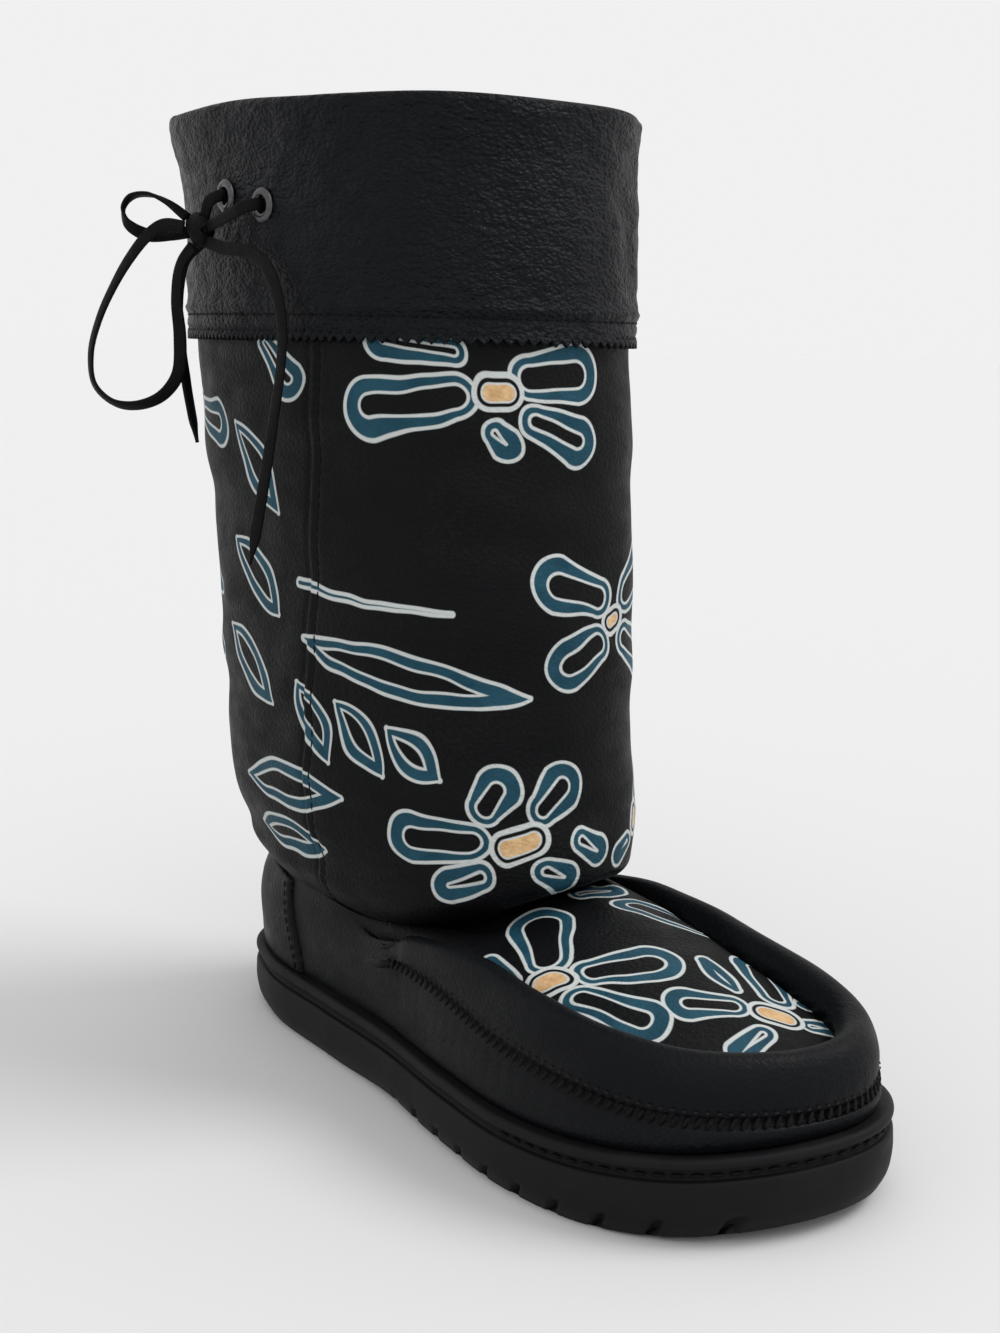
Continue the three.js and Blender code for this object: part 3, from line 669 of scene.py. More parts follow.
def footRings():
    x, y = edge[:, 0], edge[:, 1]
    centre = (neck["front"] + neck["back"]) / 2
    ankle = neckRing(np.arctan2(y, x - centre))
    along = x / foot["length"]
    rolled = smoothStep(along, *foot["roll"])[:, None]
    reach = np.abs(((ankle - edge) * outward).sum(1))
    low, high = tableColumn(foot["crest"], along, 1), tableColumn(foot["crest"], along, 2)
    heights = {
        "sole": foot["soleTop"] + topLift(x),
        "seam": tableColumn(foot["seam"], along, 1),
        "crest": low + (high - low) * smoothStep(y, -foot["width"] / 2, foot["width"] / 2),
    }
    firstInset, firstRise = foot["rows"][0][0], foot["rows"][0][3]
    bottom = edge - outward * firstInset
    bottom[:, 2] = heights["sole"] + firstRise
    rings = []
    for inset, limit, start, rise, share in foot["rows"]:
        wall = bottom + (ankle - bottom) * share**3.5 + outward * 1.2 * math.sin(math.pi * share)
        wall[:, 2] = bottom[:, 2] + (ankle[:, 2] - bottom[:, 2]) * share
        roll = edge - outward * np.minimum(inset, limit * np.maximum(reach, firstInset + 1))[:, None]
        roll[:, 2] = heights[start] + rise
        rings.append(wall + (roll - wall) * rolled)
    inner = rings[-1]
    for share in (0.35, 0.7):
        vamp = inner + (ankle - inner) * share
        vamp[:, 2] += rolled[:, 0] * foot["crown"] * math.sin(math.pi * share)
        rings.append(vamp)
    top = ankle.copy()
    top[:, 0] += (centre - top[:, 0]) * 0.02
    top[:, 1] *= 0.98
    top[:, 2] += foot["ankleRise"]
    rings += [ankle, top]
    table = np.array(rings)
    weights = np.exp(-(np.arange(-6, 7) ** 2) / 12.0)
    return sum(np.roll(table, k - 6, axis=1) * weight for k, weight in enumerate(weights / weights.sum()))


footTable = footRings()
footRows = {"seam": 2, "rollEnd": 5.6, "plugEdge": 6, "plugEnd": 9, "neck": 9, "top": 10}


# Turns at which the sole's edge passes a distance from the heel, on the outer and inner side
def turnsAt(x):
    half = foot["columns"] // 2
    outer = np.interp(x, edge[:half, 0], np.arange(half)) / foot["columns"]
    inner = 1 - np.interp(x, edge[: -half - 1 : -1, 0], np.arange(1, half + 1)) / foot["columns"]
    return float(outer), float(inner)


# Shaft and cuff surfaces
shaft = {
    "columns": 440,
    "gridRows": 190,
    "wall": 1.7,
    "power": 2.25,
    "rows": [  # height, back, front, half width
        (74, 9, 163, 51.5), (86, 4.5, 162.5, 55), (104, 2.5, 159.5, 55.5), (165, 0, 158, 56),
        (229, -6, 154, 57.3), (250, -6.5, 153, 57.8),
    ],
    "heights": (74, 86, 104, 124, 144, 165, 186, 208, 229, 250),
    "edgeClear": 0.9,
    "edgeRise": 1.8,
    "tucks": [(0.26, 0.56), (0.58, 0.9)],
}
cuff = {
    "columns": 560,
    "gridRows": 80,
    "rows": [
        (229, -8.4, 156.2, 59.6), (250, -8.9, 155.4, 60.1), (276, -8.8, 154.2, 60.2),
        (286, -10, 154.6, 60.8), (292, -11, 155.4, 61.6), (294, -11, 155.4, 61.6),
    ],
    "heights": (229, 236, 243, 250, 263, 276, 286, 292),
    "inside": (  # height and distance out, over the rim and down inside
        (294, -0.3), (294.7, -1.4), (294, -2.7), (291, -3.1), (283, -3.1), (268, -3.1), (254, -3.1),
    ),
    "wall": 1.2,
    "tooth": 2.0,
}


def ovalRing(rows, height, angle, out=0.0):
    back, front, halfWidth = (tableColumn(rows, height, k) for k in (1, 2, 3))
    halfLength = (front - back) / 2 + out
    spread = np.abs(np.cos(angle) / halfLength) ** shaft["power"]
    spread += np.abs(np.sin(angle) / (halfWidth + out)) ** shaft["power"]
    reach = spread ** (-1 / shaft["power"])
    ones = np.ones_like(angle)
    return np.stack([(front + back) / 2 + reach * np.cos(angle), reach * np.sin(angle), height * ones], 1)


def ankleEdge(angle, out, rise):
    ring = neckRing(angle)
    centre = np.stack([0 * angle + (neck["front"] + neck["back"]) / 2, 0 * angle, ring[:, 2]], 1)
    return ring + unit(ring - centre) * (shaft["edgeClear"] + out) + np.array([0, 0, rise])


def ringAngles(count):
    return math.pi + 2 * math.pi * np.arange(count) / count


def shaftRings():
    angle = ringAngles(shaft["columns"])
    rings = [ankleEdge(angle, 0.3, 2.0), ankleEdge(angle, shaft["wall"] - 0.2, 1.3)]
    low, full = ankleEdge(angle, shaft["wall"], shaft["edgeRise"]), ovalRing(shaft["rows"], 74, angle)
    for share, bulge in shaft["tucks"]:
        ring = low + (full - low) * bulge
        ring[:, 2] = low[:, 2] + (full[:, 2] - low[:, 2]) * share
        rings.append(ring)
    rings += [ovalRing(shaft["rows"], height, angle) for height in shaft["heights"]]
    return np.array(rings)


shaftTable = shaftRings()
shaftFirst = 1  # the ring at the bottom edge
shaftGirthRing = shaftTable[shaftFirst + 3 + shaft["heights"].index(165)]
shaftSteps = np.linalg.norm(np.roll(shaftGirthRing, -1, 0) - shaftGirthRing, axis=1)
shaftRun = np.concatenate([[0], np.cumsum(shaftSteps)])
shaftGirth = shaftRun[-1]


# Distance around the shaft from the middle of its front, to the inner side, at a turn
def aroundAt(turn):
    return np.interp(turn, np.linspace(0, 1, shaft["columns"] + 1), shaftRun) - shaftGirth / 2


def turnAround(distance):
    turns = np.linspace(0, 1, len(shaftRun))
    return np.interp(np.asarray(distance, float) + shaftGirth / 2, shaftRun, turns)


def cuffRings():
    angle = ringAngles(cuff["columns"])
    rings = [ovalRing(cuff["rows"], height, angle) for height in cuff["heights"]]
    top = cuff["rows"][-1][0]
    for height, out in cuff["inside"]:
        ring = ovalRing(cuff["rows"], min(height, top), angle, out)
        rings.append(ring + np.array([0, 0, height - min(height, top)]))
    return np.array(rings)


cuffTable = cuffRings()
cuffRim = len(cuff["heights"]) + 1  # place of the topmost ring


# Foot pieces
smoothLeather = leatherMaterial("smoothLeather", leathers["smooth"])
footPieces = {
    "grids": {"upper": (392, 64), "roll": (360, 32), "plug": (280, 44), "counter": (160, 44)},
    "walls": {"roll": 0.8, "plug": 0.7, "counter": 1.0},
    "rollThickness": 2.6,
    "rollStart": 118,
    "rollFade": 16,
    "plugThickness": 1.2,
    "counterThickness": 1.3,
    "counterFront": [(-5, 66), (30, 64), (45, 59), (80, 52)],  # height, distance from the heel
    "seamGroove": 0.9,
    "seamStart": 124,
    "pucker": 6.2,
}


def seamShare(turn):
    x = aroundSole(edge, turn)[:, 0]
    return smoothStep(x, footPieces["seamStart"] - 4, footPieces["seamStart"] + 10)


# The gathers of the leather along the whip seam
def puckers(turn, shift=0.0):
    return np.sin(2 * math.pi * turn * soleGirth / footPieces["pucker"] + shift)


def makeFootUpper():
    def spots(u, v):
        level = v * footRows["top"]
        line = bell(level, 1.9, 0.22) * seamShare(u)
        pucker = bell(level, 1.45, 0.5) * seamShare(u) * puckers(u)
        soft = softNoise(ringSpot(footTable, u, level), 26, 1) * 0.7 * smoothStep(level, 0.2, 1.5)
        return surfaceAt(footTable, u, level, soft - line * footPieces["seamGroove"] + 0.07 * pucker)[0]

    mesh = closeSeams(sheetMesh(*footPieces["grids"]["upper"], spots))
    finishPiece("footUpper", mesh, [smoothLeather], ["upper"])


def makeRoll():
    first, last = turnsAt(footPieces["rollStart"])

    def spots(u, v):
        turn = first + (last - first) * u
        level = footRows["seam"] + (footRows["rollEnd"] + 0.25 - footRows["seam"]) * v
        x = np.interp(turn * foot["columns"], np.arange(foot["columns"]), edge[:, 0])
        start = footPieces["rollStart"] + 2
        fade = smoothStep(x, start, start + footPieces["rollFade"])
        hump = np.clip(np.sin(math.pi * np.clip(v, 0, 1)), 0, 1) ** 0.55
        pucker = bell(v, 0, 0.16) * puckers(turn, 0.8)
        soft = softNoise(ringSpot(footTable, turn, level), 22, 2) * 0.5
        sunk = 0.8 + 0.6 * bell(v, 0, 0.08) + 1.2 * (1 - fade)
        out = (1.1 + footPieces["rollThickness"] + soft) * hump * fade - sunk + 0.12 * pucker * fade
        return surfaceAt(footTable, turn, level, out)[0]

    mesh = sheetMesh(*footPieces["grids"]["roll"], spots)
    piece = finishPiece("apronRoll", mesh, [smoothLeather], ["apron_roll"])
    addWall(piece, footPieces["walls"]["roll"])


def makePlug():
    first, last = turnsAt(footPieces["rollStart"] + 4)

    def spots(u, v):
        turn = first + (last - first) * u
        level = footRows["plugEdge"] - 0.3 + (footRows["plugEnd"] + 0.1 - footRows["plugEdge"]) * v
        soft = softNoise(ringSpot(footTable, turn, level), 24, 3) * 0.8
        out = (0.3 + footPieces["plugThickness"]) * smoothStep(v, 0, 0.2) - 0.4
        out = out + soft * smoothStep(v, 0.05, 0.4)
        return surfaceAt(footTable, turn, level, out)[0]

    def flat(u, v):
        points = spots(u, v)
        return points[:, 0] * mm, points[:, 1] * mm

    mesh = sheetMesh(*footPieces["grids"]["plug"], spots, flat)
    piece = finishPiece("vampPlug", mesh, [plugLeather], ["vamp_plug"])
    addWall(piece, footPieces["walls"]["plug"])


# How far round the heel counter reaches on each side at a row of the foot
def counterReach(level):
    turns = np.linspace(0.02, 0.45, 300)
    reach = []
    for sign in (1, -1):
        points = ringSpot(footTable, sign * turns, np.full(300, level))
        limit = np.interp(points[:, 2], *zip(*footPieces["counterFront"]))
        reach.append(turns[np.argmax(points[:, 0] > limit)])
    return reach


def makeHeelCounter():
    levels = np.linspace(0.02, 6, 40)
    reaches = np.array([counterReach(level) for level in levels])

    def spots(u, v):
        level = levels[0] + (levels[-1] - levels[0]) * v
        outer, inner = (np.interp(level, levels, reaches[:, k]) for k in (0, 1))
        turn = -inner + (outer + inner) * u
        rim = np.minimum.reduce([u * 60, (1 - u) * 60, v * 60 + 0.6, (1 - v) * 14])
        soft = softNoise(ringSpot(footTable, turn, level), 26, 1) * 0.7 * smoothStep(level, 0.2, 1.5)
        out = (0.3 + footPieces["counterThickness"]) * np.sin(np.clip(rim, 0, 1) * math.pi / 2) ** 0.6
        return surfaceAt(footTable, turn, level, out + soft - 0.15)[0]

    mesh = sheetMesh(*footPieces["grids"]["counter"], spots)
    piece = finishPiece("heelCounter", mesh, [smoothLeather], ["heel_counter"])
    addWall(piece, footPieces["walls"]["counter"])


# Sole
sole = {
    "columns": 560,
    "outsoleRows": 48,
    "midsoleRows": 24,
    "rungs": 36,
    "outsole": [  # inset, height, and how much of the ground's lift it has
        (3.4, 0, 1), (3.0, 0.0, 1), (2.3, 1.1, 1), (0.8, 4, 0.8), (0, 9, 0), (0.1, 12.6, 0),
        (0.35, 15.0, 0), (0.9, 15.7, 0), (2.2, 16.0, 0), (2.4, 17.2, 0), (2.2, 18.9, 0), (6, 19.0, 0),
    ],
    "midsole": [
        (6, 18.8, 0), (2.6, 18.8, 0), (1.1, 19.1, 0), (0.35, 19.9, 0), (0.3, 20.8, 0),
        (0.8, 21.7, 0), (1.8, 22.2, 0), (3.2, 22.1, 0), (7, 21.9, 0),
    ],
    "grooveFirst": 12,
    "groovePitch": 14.5,
    "grooveWidth": 3,
    "grooveDepth": 3.2,
    "notchSlant": 0.7,
}


def soleSpot(turn, inset, height, ground):
    point, away = aroundSole(edge, turn % 1), aroundSole(outward, turn % 1)
    point -= away * np.broadcast_to(inset, turn.shape)[:, None]
    lift = topLift(point[:, 0]) * (1 - ground) + groundLift(point[:, 0]) * ground
    return np.column_stack([point, height + lift])


# 1 inside a tread groove, 0 on a lug
def grooveShare(x, half):
    pitch = sole["groovePitch"]
    phase = np.mod(x - sole["grooveFirst"] + pitch / 2, pitch) - pitch / 2
    inside = 1 - smoothStep(np.abs(phase - sole["grooveWidth"] / 2), half - 0.5, half + 0.5)
    return inside * ((x > sole["grooveFirst"] - 4) & (x < foot["length"] - 6))


def ringSheet(profile, rows, mesh=None, notched=False):
    line = smoothRoute(profile, rows + 1)

    def spots(u, v):
        inset, height, ground = (line[np.rint(v * rows).astype(int), k] for k in range(3))
        point = soleSpot(u, inset, height, np.clip(ground, 0, 1))
        if notched:
            cut = grooveShare(point[:, 0] - sole["notchSlant"] * height, 1.2)
            cut = cut * (1 - smoothStep(height, 3.6, 6.4)) * smoothStep(point[:, 0], 120, 150)
            point = soleSpot(u, inset + 2.6 * cut, height, np.clip(ground, 0, 1))
        return point

    return sheetMesh(sole["columns"], rows, spots, mesh=mesh)


# The ground side: rungs from edge to edge, cut by the tread's grooves
def addTread(mesh):
    half = sole["columns"] // 2

    def spots(u, v):
        turn = v / 2
        outer, inner = (soleSpot(side, 3.4, 0.0, 1.0) for side in (turn, -turn))
        point = outer + (inner - outer) * u[:, None]
        bow = 6 * (1 - (2 * u - 1) ** 2)
        depth = sole["grooveDepth"] * grooveShare(point[:, 0] - bow, 1.5)
        depth = depth * smoothStep(np.minimum(u, 1 - u), 0, 0.03)
        channel = 2.0 * (1 - smoothStep(np.abs(u - 0.5) * np.linalg.norm(inner - outer, axis=1), 2, 3))
        middle = smoothStep(point[:, 0], 20, 24) * (1 - smoothStep(point[:, 0], 250, 254))
        point[:, 2] = groundLift(point[:, 0]) + np.maximum(depth, channel * middle)
        return point

    return sheetMesh(sole["rungs"], half, spots, mesh=mesh)


def makeSole():
    mesh = ringSheet(sole["outsole"], sole["outsoleRows"], notched=True)
    addTread(mesh)
    closeSeams(mesh, 1e-5)
    bmesh.ops.recalc_face_normals(mesh, faces=mesh.faces)
    finishPiece("outsoleCup", mesh, [soleRubber], ["outsole"])
    lip = closeSeams(ringSheet(sole["midsole"], sole["midsoleRows"]))
    finishPiece("midsoleLip", lip, [soleRubber], ["midsole"])


# Shaft and cuff
shaftFolds = [  # distance around from the front, height, tilt, half length, half width, depth
    (-70, 196, 0.05, 62, 9, 1.3), (-30, 176, -0.10, 48, 7, 1.0), (-95, 160, 0.12, 40, 8, 1.0),
    (-40, 138, 0.05, 55, 10, 0.9), (-105, 112, 0.22, 34, 8, 1.1), (-60, 90, 0.0, 46, 6, 0.8),
    (30, 190, 0.10, 40, 8, 0.9), (40, 120, -0.15, 45, 9, 0.9), (90, 170, -0.10, 50, 9, 1.1),
    (120, 110, 0.15, 40, 8, 1.0), (150, 190, 0.05, 45, 8, 0.9), (-150, 180, -0.05, 45, 9, 1.1),
    (-170, 120, 0.1, 40, 8, 1.2), (190, 140, -0.08, 40, 9, 1.2), (0, 92, 0.0, 36, 5, 0.9),
]
sideSeam = [  # height, and distance from the middle of the front on the outer and inner side
    (62, 98, 100), (147, 87, 93), (224, 77, 86), (260, 73, 83),
]


def foldDepth(around, height):
    depth = np.zeros_like(around)
    for at, level, tilt, length, width, deep in shaftFolds:
        along = (around - at + shaftGirth / 2) % shaftGirth - shaftGirth / 2
        away = height - level - tilt * along + 2.5 * np.sin(along / 17)
        near = np.exp(-((along / length) ** 4))
        depth += near * 0.8 * deep * (0.8 * bell(away, width * 1.3, width) - bell(away, 0, width))
    return depth


def seamDistance(around, height):
    outer = tableColumn(sideSeam, height, 1)
    inner = tableColumn(sideSeam, height, 2)
    return np.where(around < 0, around + outer, inner - around)  # above 0 on the front panel


def shaftOut(turn, point):
    around = aroundAt(turn)
    folds = foldDepth(around, point[:, 2])
    folds = folds + 0.9 * softNoise(point, 34, 4) + 0.35 * softNoise(point, 12, 5)
    distance = seamDistance(around, point[:, 2])
    step = 0.9 * smoothStep(distance, -0.6, 0.6) - 0.35 * bell(distance, -1.2, 1.0)
    press = -0.45 * bell(distance, 3.4, 0.9)
    return folds + (step + press - 0.4)


def makeShaft():
    rings = len(shaftTable)

    def spots(u, v):
        level = v * (rings - 1)
        point = ringSpot(shaftTable, u, level)
        fade = smoothStep(level, 1.0, 2.6)
        return surfaceAt(shaftTable, u, level, shaftOut(u, point) * fade)[0]

    def flat(u, v):
        point = ringSpot(shaftTable, u, v * (rings - 1))
        return (aroundAt(u) + shaftGirth / 2) * mm, point[:, 2] * mm

    mesh = sheetMesh(shaft["columns"], shaft["gridRows"], spots, flat)
    closeSeams(mesh)
    finishPiece("shaftPanels", mesh, [shaftLeather], ["shaft"])


def cuffOut(turn, point, level):
    soft = 0.9 * softNoise(point, 30, 6) + 0.55 * softNoise(point * np.array([1, 1, 1.5]), 11, 7)
    soft += 0.28 * softNoise(point * np.array([1, 1, 1.6]), 4.6, 8)
    height = point[:, 2]
    outside = 1 - smoothStep(level, cuffRim - 1.2, cuffRim - 0.2)
    ridge = 0.75 * bell(height, 238.8, 1.3) - 0.5 * bell(height, 236.3, 1.0)
    hem = -0.35 * bell(height, 232.3, 0.7)
    flare = 0.4 * smoothStep(-height, -232, -229)
    rear = bell(turn, 0.13, 0.09) + 0.6 * bell(turn, 0.62, 0.05)
    flare += rear * (2.4 * smoothStep(height, 268, 292) - 1.3 * smoothStep(height, 236, 262)) * outside
    pinch = bell(turn, 0.561, 0.016) * bell(height, 266, 15)
    flare += (0.9 * bell(turn, 0.588, 0.02) * bell(height, 270, 14) - 1.4 * pinch) * outside
    return soft * outside * smoothStep(height, 229, 236) + (ridge + hem + flare) * outside


def makeCuff():
    last = len(cuffTable) - 1

    def spots(u, v):
        level = v * last
        point = ringSpot(cuffTable, u, level)
        out = cuffOut(u, point, level)
        moved = surfaceAt(cuffTable, u, level, out)[0]
        column = np.rint(u * cuff["columns"]).astype(int)
        tooth = np.array([0.0, 0.5, 1.0, 0.5])[column % 4]
        moved[:, 2] += cuff["tooth"] * tooth * np.clip(1 - level / 0.8, 0, 1)
        moved[:, 2] += 0.8 * softNoise(point, 40, 9) * smoothStep(point[:, 2], 262, 290)
        return moved

    mesh = sheetMesh(cuff["columns"], cuff["gridRows"], spots)
    closeSeams(mesh)
    piece = finishPiece("cuffFold", mesh, [grainLeather], ["cuff"])
    addWall(piece, cuff["wall"])


# Lining: fleece from the cuff down into the foot, and the footbed
lining = {
    "columns": 240,
    "gridRows": 150,
    "tuft": 0.9,
    "bedGrid": (40, 120),
    "bedRise": 3.8,
    "bedWall": 1.5,
    "rings": [  # the form it follows, height, and distance out of that
        *((shaft["rows"], height, -4.0) for height in (88, 104, 130, 160, 200, 235)),
        *((cuff["rows"], height, -5.2) for height in (255, 272, 286)),
        (cuff["rows"], 290.5, -3.4),
    ],
}


def makeLining():
    turns = np.arange(lining["columns"]) / lining["columns"]
    base = ringSpot(footTable, turns, np.full(len(turns), footRows["neck"]))
    angle = np.arctan2(base[:, 1], base[:, 0] - (neck["front"] + neck["back"]) / 2)
    rings = [ankleEdge(angle, -4.6, 3), ankleEdge(angle, -4.8, 8), ankleEdge(angle, -4.6, 15)]
    for rows, height, out in lining["rings"]:
        rings.append(ovalRing(rows, height, angle, out))
    table = np.array(rings)

    def spots(u, v):
        level = (1 - v) * (len(table) - 1)
        point = ringSpot(table, u, level)
        tuft = softNoise(point, 3.2, 10) + 0.8 * softNoise(point, 9, 11)
        return surfaceAt(table, u, level, -np.abs(tuft) * lining["tuft"])[0]

    mesh = sheetMesh(lining["columns"], lining["gridRows"], spots)
    closeSeams(mesh)
    finishPiece("fleeceLining", mesh, [fleece])

    def bed(u, v):
        turn = v / 2
        outer, inner = (soleSpot(side, 7.0, 0.0, 0.0) for side in (turn, -turn))
        point = outer + (inner - outer) * u[:, None]
        tuft = softNoise(point, 5, 12) * 0.5 + softNoise(point, 20, 13) * 0.5
        point[:, 2] = foot["soleTop"] + topLift(point[:, 0]) + lining["bedRise"]
        point[:, 2] += 1.2 * np.abs(2 * u - 1) ** 3 + tuft
        return point

    pad = closeSeams(sheetMesh(*lining["bedGrid"], bed), 1e-5)
    bmesh.ops.recalc_face_normals(pad, faces=pad.faces)
    piece = finishPiece("footbed", pad, [fleece], ["insole"])
    addWall(piece, lining["bedWall"])


# Eyelets, and the bow's knot with its two tails up through them
eyelets = {
    "spots": {"eyelet_rear": (72, 269.4), "eyelet_front": (91.5, 266.3)},
    "steps": 48,
    "profile": [  # radius, and distance out of the cuff's face
        (4.2, -3.75), (4.2, -4.1), (2.9, -4.25), (2.35, -3.9), (2.3, -2), (2.3, 0.4), (2.42, 0.9),
        (2.8, 1.22), (3.4, 1.36), (4.1, 1.15), (4.65, 0.75), (4.9, 0.35), (4.85, 0.1), (4.2, 0.05),
    ],
}


def cuffFace(along, height):
    back, front, halfWidth = (tableColumn(cuff["rows"], height, k) for k in (1, 2, 3))
    halfLength = (front - back) / 2
    forward = (along - (front + back) / 2) / halfLength
    across = (1 - abs(forward) ** neck["power"]) ** (1 / neck["power"])
    power = neck["power"] - 1
    ahead = math.copysign(abs(forward) ** power, forward) / halfLength
    out = Vector((ahead, -(across**power) / halfWidth, 0))
    return np.array([along, -halfWidth * across, height]), np.array(out.normalized())


def makeEyelets():
    for node, (along, height) in eyelets["spots"].items():
        mesh = bmesh.new()
        verts = [mesh.verts.new((radius * mm, 0, out * mm)) for radius, out in eyelets["profile"]]
        edges = [mesh.edges.new(pair) for pair in zip(verts, verts[1:])]
        bmesh.ops.spin(
            mesh, geom=verts + edges, cent=(0, 0, 0), axis=(0, 0, 1), angle=2 * math.pi,
            steps=eyelets["steps"], use_merge=True,
        )
        closeSeams(mesh)
        bmesh.ops.recalc_face_normals(mesh, faces=mesh.faces)
        spot, out = cuffFace(along, height)
        turn = Vector(out).to_track_quat("Z", "Y").to_matrix().to_4x4()
        bmesh.ops.transform(mesh, matrix=Matrix.Translation(placed(spot)) @ turn, verts=mesh.verts)
        name = "eyelet" + node.split("_")[1].title()
        addWall(finishPiece(name, mesh, [eyeletSteel], [node]), 0.15)


knot = {
    "core": 3.5,
    "wrap": 4.1,
    "bands": [(35, 0.0), (-50, 0.7), (100, 0.3)],  # turn of each wrap over the knot, and its lift
    "tails": {
        "eyelet_rear": [(66, -65, 260), (68.5, -65.4, 264.5), (71, -65.2, 267.8)],
        "eyelet_front": [(66, -65, 260), (75, -66, 261.5), (85, -66, 263.6), (90, -64.6, 265.4)],
    },
}


def makeKnot():
    centre = np.array(lace["knot"], float)
    mesh = bmesh.new()
    mesh.loops.layers.uv.new("flat")
    size = Matrix.Diagonal((1.15, 0.85, 1.05, 1))
    bmesh.ops.create_uvsphere(
        mesh, u_segments=24, v_segments=16, radius=knot["core"] * mm,
        matrix=Matrix.Translation(placed(centre)) @ size,
    )
    across, up, front = np.array([1.0, 0.1, 0]), np.array([0, 0, 1.0]), np.array([0.25, -1, 0.05])
    for degrees, lift in knot["bands"]:
        angle = math.radians(degrees)
        way = across * math.cos(angle) + up * math.sin(angle)
        arc = [
            centre + (knot["wrap"] + lift) * (way * math.sin(a) + front * math.cos(a) * 0.85)
            for a in np.radians((-80, -45, 0, 45, 80))
        ]
        stripMesh(arc, (0, 0), lace["width"], mesh)
    for node, route in knot["tails"].items():
        spot, out = cuffFace(*eyelets["spots"][node])
        route = [*route, *(tuple(spot + out * distance) for distance in (2.2, 0.4, -2.2))]
        stripMesh(route, (0, 10, 20, 30), lace["width"] * 0.9, mesh)
    finishPiece("laceKnot", mesh, [thongLeather], ["lace_knot"])


def makeLaces():
    for name, route in laceRoutes.items():
        bare = route["far"] == "bare"
        mesh, line = stripMesh(route["points"], route["turns"], lace["width"], tipped=bare)
        piece = finishPiece(name, mesh, [thongLeather], [route["node"]])
        line = placed(line)


# Stitching
stitching = {  # pitch, length and radius
    "panels": (3.3, 2.6, 0.32),
    "counter": (3.1, 2.4, 0.34),
    "sole": (5.2, 3.9, 0.55),
    "whip": (3.1, 4.0, 0.72),
    # the holes are near-black dots of painted shade, standing in for the shadowed insides of the stitch
    # holes
    "holes": (3.1, 1.2, 0.42),
    "whipSlant": 60,
    "cuffHeights": (232.3, 236.4),
    "soleStart": 196,
}


def addStitches(mesh, spots, ways, outs, length, radius, flat):
    for spot, way, out in zip(placed(spots), ways, outs):
        way, out = Vector(way).normalized(), Vector(out).normalized()
        side = out.cross(way).normalized()
        turn = Matrix((way, side, way.cross(side))).transposed().to_4x4()
        size = Matrix.Diagonal((length / 2, radius, radius * flat, 1))
        bmesh.ops.create_uvsphere(
            mesh, u_segments=8, v_segments=5, radius=mm, matrix=Matrix.Translation(spot) @ turn @ size
        )


# Places at an even spacing along a line of points
def evenly(line, pitch):
    run = np.concatenate([[0], np.cumsum(np.linalg.norm(np.diff(line, axis=0), axis=1))])
    spots = np.arange(pitch / 2, run[-1], pitch)
    return [np.interp(spots, run, values) for values in (*line.T, np.arange(len(line)))]


def stitchLine(mesh, line, outs, pitch, length, radius, slant=0.0, flat=0.8):
    x, y, z, index = evenly(line, pitch)
    spots = np.stack([x, y, z], 1)
    index = np.rint(index).astype(int)
    ways = unit(np.gradient(line, axis=0)[index])
    outs = outs[index]
    sides = np.cross(outs, ways)
    angle = math.radians(slant)
    ways = ways * math.cos(angle) + sides * math.sin(angle)
    addStitches(mesh, spots, ways, outs, length, radius, flat)


def makeStitches():
    mesh = bmesh.new()
    turns = np.linspace(0, 1, 900)
    for height in stitching["cuffHeights"]:
        level = np.interp(height, cuff["heights"], np.arange(len(cuff["heights"])))
        point = ringSpot(cuffTable, turns, np.full(900, level))
        out = cuffOut(turns, point, np.full(900, level))
        line, outs = surfaceAt(cuffTable, turns, level, out + 0.12)
        stitchLine(mesh, line, outs, *stitching["panels"])
    heights = np.linspace(60, 235, 300)
    for column, sign in ((1, -1), (2, 1)):
        distance = sign * (tableColumn(sideSeam, heights, column) - 3.4)
        turn = turnAround(distance)
        level = np.interp(heights, shaftTable[shaftFirst:, 0, 2], np.arange(shaftFirst, len(shaftTable)))
        out = shaftOut(turn, ringSpot(shaftTable, turn, level))
        line, outs = surfaceAt(shaftTable, turn, level, out + 0.1)
        stitchLine(mesh, line, outs, *stitching["panels"])
    finishPiece("shaftStitches", mesh, [thread])

    mesh = bmesh.new()
    levels = np.linspace(0.3, 6, 120)
    for side, sign in ((0, 1), (1, -1)):
        reach = np.array([counterReach(level)[side] for level in levels])
        reach = np.convolve(np.pad(reach, 8, mode="edge"), np.ones(17) / 17, "valid")
        out = footPieces["counterThickness"] + 0.35
        line, outs = surfaceAt(footTable, sign * (reach - 0.0062), levels, out)
        stitchLine(mesh, line, outs, *stitching["counter"])
    around = np.linspace(*turnsAt(stitching["soleStart"]), 1200)
    line = soleSpot(around, 1.75, 17.4, 0.0)
    outs = surfaceAt(footTable, around, 0.5)[1]
    stitchLine(mesh, line, outs, *stitching["sole"])
    finishPiece("footStitches", mesh, [thread])

    first, last = turnsAt(footPieces["seamStart"])
    turns = np.linspace(first, last, 900)
    mesh = bmesh.new()
    line, outs = surfaceAt(footTable, turns, 1.95, 0.25)
    stitchLine(mesh, line, outs, *stitching["whip"], slant=stitching["whipSlant"])
    finishPiece("whipSeam", mesh, [thread])
    mesh = bmesh.new()
    # Near-black dots of painted shade along the whip seam, where the insides of the stitch holes would be
    # shadowed
    line, outs = surfaceAt(footTable, turns, 2.32, 1.3)
    stitchLine(mesh, line, outs, *stitching["holes"], flat=0.5)
    finishPiece("seamHoleShade", mesh, [paintedHoleShade])


